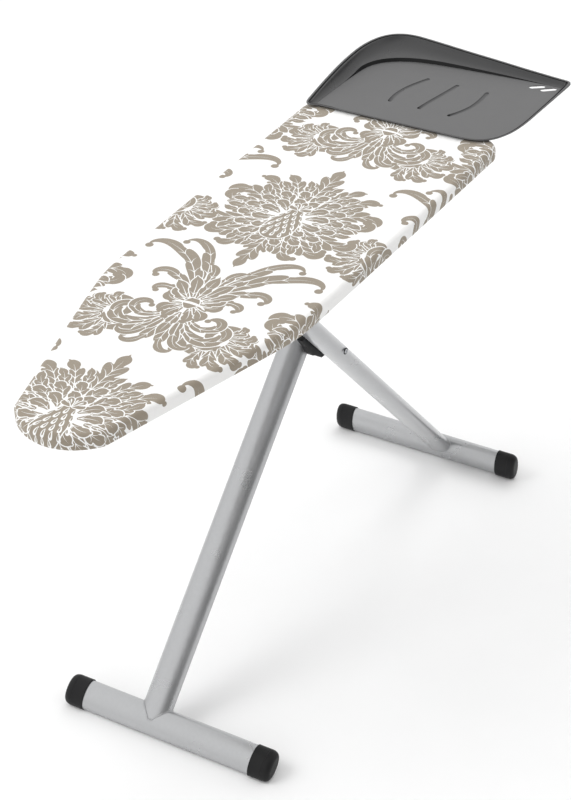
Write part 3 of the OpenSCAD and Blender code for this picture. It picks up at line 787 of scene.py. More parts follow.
PITCH_X, PITCH_Y = 745.0, 626.0
HEAD_X = 16.0
PLACES = []
for kx in range(-2, 3):
    for ky in (-1, 0, 1):
        for half in (0, 1):
            for which, cx in ((0, HEAD_X), (1, HEAD_X - 350)):
                PLACES.append((which, np.array([cx + (kx + half / 2) * PITCH_X, (ky + half / 2) * PITCH_Y])))

MOTIFS = [medallion(), bouquet()]
REACH = [(min(p[:, 0].min() for _, p in m), max(p[:, 0].max() for _, p in m), max(np.abs(p[:, 1]).max() for _, p in m)) for m in MOTIFS]
OUT = DEEP - ROLL


def near_board(which, at):
    x0, x1, w = REACH[which]
    return at[0] + x1 > NOSE_X - OUT and at[0] + x0 < END_X + OUT and abs(at[1]) - w < 225 + OUT


def build_cover():
    pts, edges = [], []

    def add(p, closed=True, keep=None):
        o = sum(len(x) for x in pts)
        pts.append(p)
        n = len(p)
        for i in range(n if closed else n - 1):
            if keep is None or keep[i]:
                edges.append((o + i, o + (i + 1) % n))

    shown = [visible_edges(m) for m in MOTIFS]
    for which, at in PLACES:
        if near_board(which, at):
            for p, keep in shown[which]:
                add(p + at, True, keep)
    # rings along the rolled edge, closer together where it bends
    depth = [0.0, 2.9, 5.8, 8.6, 11.5, 14.4, ROLL * math.pi / 2]
    a = depth[-1]
    depth += [a + drop_len * 0.5, a + drop_len]
    a += drop_len
    depth += [a + TUCK * math.pi / 2 * k / 4 for k in (1, 2, 3, 4)]
    a += TUCK * math.pi / 2
    depth += [a + hem_len * k / 6 for k in range(1, 7)]
    a += hem_len
    depth += [a + CASE_R * math.radians(300) * k / 8 for k in range(1, 8)] + [DEEP]
    rings = []
    gap = np.where(EDGE_K > 0.003, 2.2, 7.0)
    take, run = [], 0.0
    for i in range(len(EDGE)):
        run += EDGE_L / len(EDGE)
        if run >= gap[i]:
            take.append(i)
            run = 0.0
    take = np.array(take)
    for u in depth:
        sel = take if u > 26 else take[::2] if u > 0 else take[::3]
        add(EDGE[sel] - EDGE_N[sel] * (ROLL - u))
    all_pts = np.concatenate(pts)
    verts, _, tris, *_ = geometry.delaunay_2d_cdt([Vector(p) for p in all_pts], edges, [], 0, 1e-3, False)
    v = np.array([tuple(p) for p in verts])
    f = np.array(tris, np.int64)
    mid = v[f].mean(1)
    # the cloth ends at the last ring
    rough = (mid[:, 0] < NOSE_X + 60) | (mid[:, 0] > END_X - 60) | (np.abs(mid[:, 1]) > plan_w(np.clip(mid[:, 0], NOSE_X, END_X)) - 40)
    keep = np.ones(len(f), bool)
    i = np.nonzero(rough)[0]
    keep[i] = nearest_edge(mid[i])[0] > ROLL - DEEP + 1e-4
    area = 0.5 * np.abs(np.cross(v[f[:, 1]] - v[f[:, 0]], v[f[:, 2]] - v[f[:, 0]]))
    keep &= area > 1e-7
    f, mid = f[keep], mid[keep]
    ink = np.zeros(len(f), np.int32)
    for which, at in PLACES:
        if not near_board(which, at):
            continue
        x0, x1, w = REACH[which]
        c = np.nonzero((mid[:, 0] > at[0] + x0) & (mid[:, 0] < at[0] + x1) & (np.abs(mid[:, 1] - at[1]) < w))[0]
        m = mid[c] - at
        for col, p in MOTIFS[which]:
            lo2, hi2 = p.min(0), p.max(0)
            s = np.nonzero((m[:, 0] > lo2[0]) & (m[:, 0] < hi2[0]) & (m[:, 1] > lo2[1]) & (m[:, 1] < hi2[1]))[0]
            if len(s):
                s = s[inside(p, m[s])]
                ink[c[s]] = col
    used, f = np.unique(f, return_inverse=True)
    f = f.reshape(-1, 3)
    v = v[used]
    pos, nor, u = wrap(v)
    # face normals for the gathered hem, the exact ones elsewhere
    fn = np.cross(pos[f[:, 1]] - pos[f[:, 0]], pos[f[:, 2]] - pos[f[:, 0]])
    acc = np.zeros_like(pos)
    for k in range(3):
        np.add.at(acc, f[:, k], fn)
    ln = np.linalg.norm(acc, axis=1)
    ok = (u > HEM_U - 6) & (ln > 1e-9)
    acc[ok] /= ln[ok][:, None]
    flip = np.einsum("ij,ij->i", acc, nor) < 0
    acc[flip] *= -1
    t = np.clip((u - HEM_U + 6) / 8, 0, 1)[:, None] * ok[:, None]
    nor = nor * (1 - t) + acc * t
    nor /= np.linalg.norm(nor, axis=1)[:, None]
    # the cloth's inner face, 0.6 mm behind, stitched to it round the cut edge
    n = len(v)
    back = pos - nor * 0.6
    e = np.concatenate([f[:, [0, 1]], f[:, [1, 2]], f[:, [2, 0]]])
    key = np.sort(e, 1)
    _, inv, cnt = np.unique(key[:, 0] * np.int64(n) + key[:, 1], return_inverse=True, return_counts=True)
    rim = e[cnt[inv] == 1]
    sides = np.concatenate([np.stack([rim[:, 1], rim[:, 0], rim[:, 0] + n], 1), np.stack([rim[:, 1], rim[:, 0] + n, rim[:, 1] + n], 1)])
    faces = np.concatenate([f, f[:, ::-1] + n, sides])
    index = np.concatenate([ink, np.full(len(f) + len(sides), 2)])
    ob = make("printed_cover", np.concatenate([pos, back]), faces, [WHITE, TAUPE, LINING], index,
              uv=np.concatenate([v, v]), normals=np.concatenate([nor, -nor]))
    tri = v[f]
    flat_area = float(0.5 * np.abs(np.cross(tri[:, 1] - tri[:, 0], tri[:, 2] - tri[:, 0])).sum()) * 1e-6
    return ob, flat_area, len(f)


cover, flat_area, n_cover = build_cover()
print("cover", n_cover, "flat area", round(flat_area, 4), "deep", round(DEEP, 2))
put(cover, "board", "fabric_cover", slot="cover_fabric")


# ------------------------------------------------------------------ foam pad, drawstring and toggle
def ring_at(inset, z, sel):
    p = EDGE[sel] - EDGE_N[sel] * inset
    return np.concatenate([p, np.full((len(p), 1), z)], 1)


def build_pad():
    """A foam slab that rolls over the steel rim: flat under the cloth, thin where it is stretched down the side."""
    sel = np.arange(0, len(EDGE), 5)
    top, base = TOP_Z - 0.75, float(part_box("mesh_top")[1].z) / MM + 0.05
    prof = [(60, base), (14, base), (3.2, base), (2.75, base - 1.2), (2.7, base - 6), (2.65, base - 11.5), (2.2, base - 12.6), (1.6, base - 12.4), (1.05, base - 11.0), (0.85, base - 6), (0.9, base - 1.5)]
    for k in range(1, 8):
        a = math.radians(90 * k / 8)
        prof.append((0.75 + (ROLL - 0.75) * (1 - math.cos(a)), top - (ROLL - 0.75) * (1 - math.sin(a))))
    prof += [(ROLL, top), (ROLL + 12, top), (60, top)]
    rings = [ring_at(i, z, sel) for i, z in prof]
    pts, faces = loft(rings, True)
    # the flat middle, above and below
    n = len(sel)
    for r, flip in ((0, True), (len(rings) - 1, False)):
        q = rings[r][:, :2]
        _, _, tri, *_ = geometry.delaunay_2d_cdt([Vector(p) for p in q], [], [tuple(range(n))], 1, 1e-5, True)
        for t in tri:
            if len(t) == 3 and max(t) < n:
                t = [r * n + i for i in t]
                faces.append(tuple(t[::-1] if flip else t))
    ob = make("foam_cushion", pts, faces, FOAM)
    return smooth_by_angle(ob, 50)


pad = build_pad()
put(pad, "board", "foam_pad", slot="pad_foam")


def build_string():
    """The drawstring's loop in the hem and its two tails through the toggle."""
    sel = np.arange(0, len(EDGE), 4)
    p = ring_at(ROLL - CASE_O, CASE_Z, sel)
    loop = sweep(p, 0.95, 8, closed=True)
    lo, hi = (np.array(v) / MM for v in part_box("cord_toggle"))
    cx, cy = (lo[0] + hi[0]) / 2, (lo[1] + hi[1]) / 2
    parts = [loop]
    for s in (-1, 1):
        path = spline([(cx, cy + s * 16, CASE_Z), (cx - 0.3, cy + s * 10, CASE_Z - 0.4), (cx - 0.4, cy + s * 4.5, CASE_Z - 1.6),
                       (cx, cy + s * 1.7, hi[2] - 2.5), (cx, cy + s * 1.5, (lo[2] + hi[2]) / 2), (cx, cy + s * 1.5, lo[2] + 1),
                       (cx + 0.6, cy + s * 2.2, lo[2] - 6), (cx + 0.4 + s, cy + s * 4.0, lo[2] - 15), (cx + 1.0, cy + s * 5.2, lo[2] - 24)], 6)
        parts.append(sweep(path, 0.95, 8))
        end = path[-1]
        knot = spline([end + np.array(v, float) for v in ((0, 0, 2.2), (1.5, 0.3, 1.0), (0.6, 1.4, -0.4), (-1.3, 0.6, 0.4), (-0.8, -1.2, 1.2), (1.0, -1.0, 0.2), (0.4, 0.6, -1.4), (0, 0, -5.5))], 6)
        parts.append(sweep(knot, 0.95, 8))
    pts, faces = merge(parts)
    return make("hem_drawstring", pts, faces, CORD)


string = build_string()
put(string, "board", "cover_drawstring", slot="cord_cotton")


def build_toggle():
    lo, hi = (np.array(v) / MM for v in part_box("cord_toggle"))
    cx, cy, z0, z1 = (lo[0] + hi[0]) / 2, (lo[1] + hi[1]) / 2, lo[2], hi[2] - 3.2
    h = z1 - z0
    body = [(0, 2.2), (0, 4.4), (0.5, 5.3), (1.4, 5.9)]
    body += [(1.4 + (h - 2.8) * k / 8, 5.95 + 0.5 * math.sin(math.pi * k / 8)) for k in range(1, 8)]
    body += [(h - 1.4, 5.9), (h - 0.5, 5.3), (h, 4.3), (h, 3.95), (h - 1.6, 3.85)]
    button = [(h - 1.6, 3.6), (h + 1.6, 3.6), (h + 2.6, 3.2), (h + 3.1, 2.2), (h + 3.2, 2.1), (h + 2.4, 1.9), (h - 1.0, 1.9)]
    a = lathe(body, (cx, cy, z0), (0, 0, 1), 28, (True, True))
    b = lathe(button, (cx, cy, z0), (0, 0, 1), 28, (True, True))
    # two grip ridges round the barrel
    rings = []
    for k in range(5):
        z = z0 + h * (0.26 + 0.12 * k)
        t = np.linspace(0, 2 * np.pi, 36, endpoint=False)
        r = 6.38
        rings.append(sweep(np.stack([cx + r * np.cos(t), cy + r * np.sin(t), np.full(36, z)], 1), 0.42, 6, True))
    pts, faces = merge([a, b] + rings)
    return smooth_by_angle(make("cord_lock", pts, faces, BLACK), 40)


toggle = build_toggle()
put(toggle, "board", "cord_toggle", slot="black_plastic")


# ------------------------------------------------------------------ iron rest
# Rim (x, y, height) and the foot of its wall (x, y) at matching stations, walked anticlockwise seen from above.
TRAY_PTS = [
    (444, 120, 906.6, 447.5, 120), (444, 0, 906.6, 447.5, 0), (444, -100, 906.6, 447.5, -100), (444.5, -146, 906.7, 448, -146),
    (447, -168, 906.8, 451, -167), (454, -187, 907.0, 458, -184), (467, -204, 907.4, 471, -199.5), (487, -217, 907.9, 490, -211.5),
    (516, -227.5, 908.5, 518, -221), (560, -234, 909.3, 560, -226.5), (621, -237, 910.3, 621, -229), (680, -239.5, 911.2, 678, -230.5),
    (735, -241.8, 912.0, 726, -230.8), (752, -242.2, 912.3, 736, -230.2), (760, -240.8, 912.5, 740.5, -227.5), (764.5, -236.5, 912.7, 741.5, -222),
    (766, -229, 913.0, 741.4, -213), (766.5, -200, 914.8, 740.6, -180), (767.2, -140, 919.2, 738.4, -128), (769, -75, 924.2, 735.4, -74),
    (771.2, 0, 929.4, 731, -8), (774, 60, 933.6, 726.4, 44), (776.4, 106, 936.2, 720.5, 84), (776.8, 130, 937.2, 714.4, 107),
    (772.5, 154, 937.8, 705, 130), (761, 176, 938.0, 693, 149), (741, 193.5, 937.9, 678.5, 165), (712, 206.5, 937.0, 660, 176.5),
    (672, 214.6, 935.4, 636, 183.4), (620, 217.6, 931.6, 600, 186.6), (570, 217.4, 927.0, 560, 188.6), (510, 215.6, 919.8, 508, 190.4),
    (462, 213.2, 913.6, 464, 191.4), (446, 211.8, 911.6, 453.5, 191.2), (437.6, 208.6, 910.4, 449.8, 189.4), (434.4, 202, 909.4, 448.4, 185.5),
    (436.2, 195, 908.3, 448.0, 180), (441.4, 187, 907.2, 447.8, 172), (443.6, 175, 906.8, 447.6, 162)]
FLOOR_T, SKIN = 905.0, 2.6
GROOVES = [[(529.5, 62), (552, 64.5), (575, 63.5), (600, 59), (628, 49.5), (654, 38)],
           [(526, -8), (560, -13.5), (592, -19.5), (624, -25.5), (654, -31)],
           [(524, -78), (542, -88), (562, -96), (584, -101.5), (610, -103.5), (632, -103), (650, -102)]]
GROOVE_R, GROOVE_D = 4.5, 2.5
SLOTS = [((718.6, -172.5), (730.2, -190.5)), ((716.4, -199.0), (729.8, -216.8))]
SLOT_R, SLOT_FLARE = 6.2, 7.8


def capsule(a, b, r, n=12):
    a, b = np.array(a, float), np.array(b, float)
    d = (b - a) / np.linalg.norm(b - a)
    s = np.array([-d[1], d[0]])
    t = np.linspace(0, np.pi, n)
    one = b + r * (np.cos(t)[:, None] * -s + np.sin(t)[:, None] * d)
    two = a + r * (np.cos(t)[:, None] * s - np.sin(t)[:, None] * d)
    return np.concatenate([one, two])


def around(line, r, n=9):
    """A closed outline at distance r round a centre line."""
    t = np.gradient(line, axis=0)
    t /= np.linalg.norm(t, axis=1)[:, None]
    s = np.stack([-t[:, 1], t[:, 0]], 1)
    k = np.linspace(0, np.pi, n)[1:-1]
    end = line[-1] + r * (-np.cos(k)[:, None] * s[-1] + np.sin(k)[:, None] * t[-1])
    start = line[0] + r * (np.cos(k)[:, None] * s[0] - np.sin(k)[:, None] * t[0])
    return np.concatenate([line - s * r, end, (line + s * r)[::-1], start])


def to_line(line, q):
    """Distance from points to a centre line, and how far along it (0 to 1)."""
    best = np.full(len(q), 1e9)
    at = np.zeros(len(q))
    m = len(line) - 1
    for i in range(m):
        a, d = line[i], line[i + 1] - line[i]
        t = np.clip(((q - a) @ d) / (d @ d), 0, 1)
        r = np.linalg.norm(q - a - t[:, None] * d, axis=1)
        w = r < best
        best[w], at[w] = r[w], (i + t[w]) / m
    return best, at


def build_tray():
    rim = spline([t[:3] for t in TRAY_PTS], 6, closed=True)
    foot = spline([t[3:] for t in TRAY_PTS], 6, closed=True)
    n = len(rim)
    R, H = rim[:, :2], rim[:, 2] - FLOOR_T
    t = np.roll(R, -1, 0) - np.roll(R, 1, 0)
    t /= np.linalg.norm(t, axis=1)[:, None]
    outn = np.stack([t[:, 1], -t[:, 0]], 1)
    lip = np.clip(H / 7, 0.35, 1.0)[:, None]
    H1 = H[:, None]
    wide = np.minimum(12.0 * lip, 0.6 * np.linalg.norm(R - foot, axis=1)[:, None])
    crest_in = R - outn * wide

    def at(p, z):
        return np.concatenate([p, np.broadcast_to(np.asarray(z, float).reshape(-1, 1) if np.ndim(z) else z, (n, 1))], 1)

    rings = []
    # the wall: hollow at the foot, steeper as it climbs, then the rolled rim with its groove
    span = crest_in - foot
    top = H1 - 1.4 * lip
    # a low riser parts the wall from the floor; it is tallest along the back
    fade = np.where(R[:, 1:] > 150, np.clip((R[:, :1] - 575) / 90, 0, 1), 1.0)
    riser = 0.35 + 7.5 * np.clip((H1 - 9.0) / 20.0, 0, 1) ** 0.8 * fade
    rise_in = foot + outn * np.minimum(2.2, 0.28 * riser)
    for k in range(0, 13):
        s = k / 12
        b = ((1 - s) ** 3 * 0 + 3 * (1 - s) ** 2 * s * 0.56 + 3 * (1 - s) * s * s * 0.86 + s ** 3)
        z = (3 * (1 - s) ** 2 * s * 0.0 + 3 * (1 - s) * s * s * 0.52 + s ** 3)
        if k == 1:
            rings.append(at(rise_in, FLOOR_T + riser))
            rings.append(at(rise_in + outn * 0.5, FLOOR_T + riser + 0.12))
        q = foot + span * b
        rings.append(at(q if k == 0 else rise_in + outn * 0.5 + (crest_in - rise_in - outn * 0.5) * b, FLOOR_T + (0 if k == 0 else 0.12 + riser + (top - riser - 0.12) * z)))
    for o, dz in ((0.4, 0.5), (1.2, 0.9), (2.2, 0.6), (2.7, -1.1), (6.4, -1.2), (6.9, 0.5), (7.8, 1.35), (9.6, 1.5), (11.0, 1.15), (11.8, 0.4), (12.0, -0.8)):
        rings.append(at(crest_in + outn * o * wide / 12, FLOOR_T + top + dz * lip))
    skirt = np.clip(H1 * 0.28 + 0.8, 1.6, 5.5)
    rings.append(at(R + outn * 0.1, FLOOR_T + top - skirt + 0.5))
    rings.append(at(R - outn * 0.1, FLOOR_T + top - skirt))
    rings.append(at(R - outn * 0.9, FLOOR_T + top - skirt - 0.1))
    rings.append(at(R - outn * 1.5, FLOOR_T + top - skirt + 0.5))
    rings.append(at(R - outn * np.minimum(2.2, 1.6 + 0.6 * lip), FLOOR_T + np.maximum(top - 2.4, top - skirt + 0.7) ))
    base = FLOOR_T - 3.0
    foot_out = foot + outn * 0.9
    for k in range(0, 9):
        s = 1 - k / 8
        b = (3 * (1 - s) ** 2 * s * 0.56 + 3 * (1 - s) * s * s * 0.86 + s ** 3)
        z = (3 * (1 - s) * s * s * 0.52 + s ** 3)
        p = foot_out + (crest_in - foot_out) * b
        rings.append(at(p, np.maximum(base, base + 0.25 + (top - 0.4) * z)) if k < 8 else at(foot_out, base))
    pts, faces = loft(rings, True)
    # bands take colour by ring: the riser at the foot (band 0) and the rim's groove (bands 17 to 19) take the
    # near-black copy as painted shadow; the wall, the rim's inner rise and everything under the rim take the darker
    # gloss copy as painted shade; the outer bead keeps the tray's own grey
    index = []
    for r in range(len(rings) - 1):
        index += [2 if r in (0, 17, 18, 19) else 1 if r < 17 or r > 25 else 0] * n
    parts, o = [pts], len(pts)
    # the floor, with its three grooves and two through slots; the underside likewise, one skin below
    lines = [spline(g, 8) for g in GROOVES]
    for under in (False, True):
        outer = (rings[-1] if under else rings[0])[:, :2]
        loops = [outer]
        slot_r = SLOT_FLARE if under else SLOT_R
        for a, b in SLOTS:
            loops.append(capsule(a, b, slot_r))
        for ln in lines:
            for r in ((GROOVE_R, GROOVE_R * 0.86, GROOVE_R * 0.62, GROOVE_R * 0.3) if not under else (GROOVE_R + 2.0, GROOVE_R + 1.6, GROOVE_R + 0.8)):
                loops.append(around(ln, r))
        p, e = [], []
        for q in loops:
            b0 = sum(len(x) for x in p)
            p.append(q)
            e += [(b0 + i, b0 + (i + 1) % len(q)) for i in range(len(q))]
        v, _, tri, *_ = geometry.delaunay_2d_cdt([Vector(x) for x in np.concatenate(p)], e, [], 0, 1e-4, False)
        v = np.array([tuple(x) for x in v])
        tri = np.array(tri, np.int64)
        mid = v[tri].mean(1)
        keep = inside(outer, mid)
        for a, b in SLOTS:
            keep &= ~inside(capsule(a, b, slot_r), mid)
        tri = tri[keep]
        z = np.full(len(v), base if under else FLOOR_T)
        for ln in lines:
            d, along = to_line(ln, v)
            if under:
                k = np.clip(1 - (d - GROOVE_R - 0.8) / 1.2, 0, 1)
                z -= 1.7 * k * k * (3 - 2 * k)
            else:
                deep = GROOVE_D * (0.75 + 0.6 * np.clip(1 - along * 6, 0, 1))
                k = np.clip(1 - d / GROOVE_R, 0, 1)
                z -= deep * np.sqrt(np.clip(1 - (1 - k) ** 2.6, 0, 1))
        if under:
            tri = tri[:, ::-1]
        parts.append(np.concatenate([v, z[:, None]], 1))
        faces += [tuple(int(i) + o for i in f) for f in tri]
        if under:
            index += [0] * len(tri)
        else:
            # groove channels take the darker gloss copy as painted shade, and their deep near ends the near-black copy
            # as a painted shadow dot
            gm = v[tri].mean(1)
            mark = np.zeros(len(tri), int)
            for ln in lines:
                dist, along = to_line(ln, gm)
                mark[dist < GROOVE_R] = 1
                mark[(dist < GROOVE_R) & (along < 0.045)] = 2
            index += [int(i) for i in mark]
        o += len(v)
    # the slot sides take the darker gloss copy as painted shade
    for a, b in SLOTS:
        c, c2 = capsule(a, b, SLOT_R), capsule(a, b, SLOT_FLARE)
        m = len(c)
        parts += [np.concatenate([c, np.full((m, 1), FLOOR_T)], 1), np.concatenate([c2, np.full((m, 1), base)], 1)]
        for i in range(m):
            j = (i + 1) % m
            faces.append((o + i, o + j, o + m + j, o + m + i))
            index.append(1)
        o += 2 * m
    ob = make("iron_rest_tray", np.concatenate(parts), faces, [TRAY, TRAY_GLOSS_PAINTED_SHADE, TRAY_PAINTED_SHADOW], index)
    # join the skins where they meet
    import bmesh
    bm = bmesh.new()
    bm.from_mesh(ob.data)
    bmesh.ops.remove_doubles(bm, verts=bm.verts, dist=2e-5)
    bmesh.ops.recalc_face_normals(bm, faces=bm.faces)
    bm.to_mesh(ob.data)
    bm.free()
    ob.data.polygons.foreach_set("use_smooth", np.ones(len(ob.data.polygons), bool))
    return smooth_by_angle(ob, 32)


tray = build_tray()
put(tray, "board", "iron_tray", slot="tray_plastic")


# ------------------------------------------------------------------ foot caps
def oval_ring(x, y, z, tilt, a, b, n=72, flat=0.0, soft=0.0):
    """A ring of an oval bar's section at y, its wide axis tilted above +X, pressed flat at the floor."""
    t = np.linspace(0, 2 * np.pi, n, endpoint=False)
    c, s = math.cos(math.radians(tilt)), math.sin(math.radians(tilt))
    u, v = a * np.cos(t), b * np.sin(t)
    px, pz = x + u * c - v * s, z + u * s + v * c
    if flat is not None:
        pz = np.where(pz < flat + soft, flat + soft * np.exp(np.minimum(0, (pz - flat - soft)) / max(soft, 1e-6)), pz) if soft > 0 else np.maximum(pz, flat)
    return np.stack([px, np.full(n, float(y)), pz], 1)


def build_cap(name, node, x, z, tilt, a, b):
    lo, hi = (np.array(v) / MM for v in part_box(node))
    out = 1 if (lo[1] + hi[1]) > 0 else -1
    y_end, y_in = (hi[1], lo[1]) if out > 0 else (lo[1], hi[1])
    wall = 1.8
    A, B = a + wall, b + wall
    rings = []
    # (distance from the outer end, how far the section is drawn in, how much the sole rises)
    prof = [(-6.5, 12.5), (-6.35, 10.5), (-5.8, 8.2), (-4.8, 6.0), (-3.2, 4.1), (-1.2, 2.5), (1.2, 1.3), (4.0, 0.5), (7.0, 0.1), (9.0, 0.0),
            (9.9, 0.0), (10.3, 0.45), (10.9, 0.45), (11.3, 0.0), (20, 0.0)]
    L = abs(y_end - y_in)
    prof += [(L - 2.6, 0.0), (L - 1.2, -0.25), (L - 0.5, -0.1), (L, 0.5)]
    for d, s in prof:
        rings.append(oval_ring(x, y_end - out * d, z, tilt, A - s, B - s * 0.8, flat=max(0.0, s * 0.22), soft=0.35))
    # inside: a lip against the bar, then the socket's wall and floor
    rings.append(oval_ring(x, y_end - out * (L - 0.2), z, tilt, a + 0.55, b + 0.55, flat=0.05))
    rings.append(oval_ring(x, y_end - out * (L - 1.0), z, tilt, a + 0.06, b + 0.06, flat=0.05))
    rings.append(oval_ring(x, y_end - out * 3.2, z, tilt, a + 0.06, b + 0.06, flat=0.05))
    pts, faces = loft(rings, True, (True, True))
    if out < 0:
        faces = [f[::-1] for f in faces]
    ob = make(name, pts, faces, BLACK)
    import bmesh
    bm = bmesh.new()
    bm.from_mesh(ob.data)
    bmesh.ops.recalc_face_normals(bm, faces=bm.faces)
    bm.to_mesh(ob.data)
    bm.free()
    return smooth_by_angle(ob, 38)


FRONT = (-500.0, 24.327, 40.0)
REAR = (580.3, 30.888, 88.0)
for node, (x, z, tilt), body in (("front_cap_left", FRONT, "front_leg"), ("front_cap_right", FRONT, "front_leg"),
                                 ("rear_cap_left", REAR, "rear_leg"), ("rear_cap_right", REAR, "rear_leg")):
    put(build_cap(node.replace("cap", "foot_cap"), node, x, z, tilt, 30.0, 17.5), body, node, slot="black_plastic")


# ------------------------------------------------------------------ weld beads where each leg meets its foot bar
CROSS = (91.27452, 578.79453)


def weld(name, body, bar, lean, y, sign):
    """A rippled bead along the line where the oval leg tube meets the oval bar."""
    bx, bz, tilt = bar
    la = math.radians(lean) * sign
    axis = np.array([-math.sin(la), 0, -math.cos(la)])   # down the leg
    side = np.array([math.cos(la), 0, -math.sin(la)])
    c, s = math.cos(math.radians(tilt)), math.sin(math.radians(tilt))
    path = []
    for t in np.linspace(0, 2 * np.pi, 150, endpoint=False):
        p = np.array([CROSS[0], y, CROSS[1]]) + side * 17.75 * math.cos(t) + np.array([0, 32.0 * math.sin(t), 0])
        # where the ray from p along axis enters the bar's oval
        q, d = np.array([p[0] - bx, p[2] - bz]), np.array([axis[0], axis[2]])
        R = np.array([[c, s], [-s, c]])
        q, d = R @ q / [30.0, 17.5], R @ d / [30.0, 17.5]
        aa, bb, cc = d @ d, 2 * q @ d, q @ q - 1
        disc = bb * bb - 4 * aa * cc
        k = (-bb - math.sqrt(max(disc, 0))) / (2 * aa)
        path.append(p + axis * k)
    path = np.array(path)
    w = 1.55 + 0.28 * np.sin(np.arange(150) * 2 * np.pi / 3.0) + 0.15 * np.sin(np.arange(150) * 0.37)
    pts, faces = sweep(path, w, 10, closed=True)
    ob = make(name, pts, faces, SILVER)
    return put(ob, body, slot="silver_tube")


weld("front_weld_bead", "front_leg", FRONT, 46.84, 38.5, 1)
weld("rear_weld_bead", "rear_leg", REAR, 41.75, -38.5, -1)


# ------------------------------------------------------------------ bolts, spring and lever grip
def axis_of(node):
    lo, hi = (np.array(v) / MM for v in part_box(node))
    return lo, hi, (lo + hi) / 2


def build_bolt(name, node, head_r, head_h, ringed=False):
    """A button-head bolt along Y: domed head with a hexagon socket, washer, and a threaded end past the nut."""
    lo, hi, mid = axis_of(node)
    cx, cz = mid[0], mid[2]
    y0, y1 = lo[1], hi[1]
    parts = []
    t = np.linspace(0, 2 * np.pi, 48, endpoint=False)
    prof = [(head_h, 5.0), (head_h, head_r - 0.2), (head_h - 0.25, head_r), (head_h * 0.62, head_r), (head_h * 0.34, head_r * 0.9), (head_h * 0.12, head_r * 0.7), (0.02, head_r * 0.52), (0.0, 3.15)]
    if ringed:
        # a black collar pressed under a bright domed head
        prof = [(head_h, 5.0), (head_h, 6.8), (head_h - 0.2, 7.0), (head_h * 0.5, 7.0), (head_h * 0.38, 6.7), (head_h * 0.38, 5.4),
                (head_h * 0.8, 5.1), (head_h * 0.8, 4.9), (head_h * 0.45, 4.8), (head_h * 0.18, 4.3), (0.05, 3.7), (0.0, 3.15)]
    rings = [np.stack([cx + r * np.cos(t), np.full(48, y0 + h), cz + r * np.sin(t)], 1) for h, r in prof]
    hexr = 2.75 / np.maximum(np.cos((t % (np.pi / 3)) - np.pi / 6), 1e-6)
    for h in (0.25, head_h * 0.8):
        rings.append(np.stack([cx + hexr * np.cos(t), np.full(48, y0 + h), cz + hexr * np.sin(t)], 1))
    parts.append(loft(rings, True, (True, True)))
    # shank, then rolled threads at the far end
    ys = [y0 + head_h - 0.1, y1 - 9.5]
    prof2 = [(ys[0], 4.98), (ys[1], 4.98)]
    y = ys[1]
    while y < y1 - 1.0:
        prof2 += [(y + 0.1, 4.5), (y + 0.55, 4.96), (y + 0.7, 4.96)]
        y += 1.15
    prof2 += [(y1 - 0.6, 4.6), (y1, 4.1)]
    rings = [np.stack([cx + r * np.cos(t), np.full(48, h), cz + r * np.sin(t)], 1) for h, r in prof2]
    parts.append(loft(rings, True, (True, True)))
    pts, faces = merge(parts)
    pa = np.array(pts)
    index = []
    for f in faces:
        c = pa[list(f)].mean(0)
        far = math.hypot(c[0] - cx, c[2] - cz)
        index.append(1 if ringed and 4.95 < far and c[1] < y0 + head_h + 0.05 and len(f) < 10 else 0)
    ob = make(name, pts, faces, [ZINC, BLACK], index)
    import bmesh
    bm = bmesh.new()
    bm.from_mesh(ob.data)
    bmesh.ops.recalc_face_normals(bm, faces=bm.faces)
    bm.to_mesh(ob.data)
    bm.free()
    return smooth_by_angle(ob, 30)


put(build_bolt("pivot_button_bolt", "pivot_bolt", 7.0, 2.8, True), "front_leg", "pivot_bolt", slot="zinc_steel")
put(build_bolt("hinge_button_bolt", "hinge_bolt", 8.5, 3.2), "board", "hinge_bolt", slot="zinc_steel")


def build_spring():
    """A wire torsion spring on the lever pin, one leg under the rack flange and one on the comb."""
    lo, hi, mid = axis_of("lever_spring")
    cx, cz = mid[0], mid[2]
    y0, y1 = lo[1] + 0.7, hi[1] - 0.7
    r, wire, turns = 4.15, 0.6, 5.25
    k = np.linspace(0, 1, int(turns * 24))
    a = 2 * np.pi * turns * k
    coil = np.stack([cx + r * np.cos(a), y0 + (y1 - y0) * k, cz + r * np.sin(a)], 1)
    leg0 = [(cx + r + 0.2, y0 - 0.02, cz - 10.0), (cx + r + 0.05, y0 - 0.01, cz - 5.0)]
    e = coil[-1]
    d = np.array([-math.sin(a[-1]), 0, math.cos(a[-1])])
    leg1 = [e + d * 5 + [0, 0.02, 0], e + d * 12 + [0, 0.03, 0]]
    path = np.concatenate([spline([*leg0, coil[0]], 6)[:-1], coil, spline([coil[-1], *leg1], 6)[1:]])
    pts, faces = sweep(path, wire, 8)
    return make("lever_torsion_spring", pts, faces, STEEL)


put(build_spring(), "board", "lever_spring", slot="frame_steel")


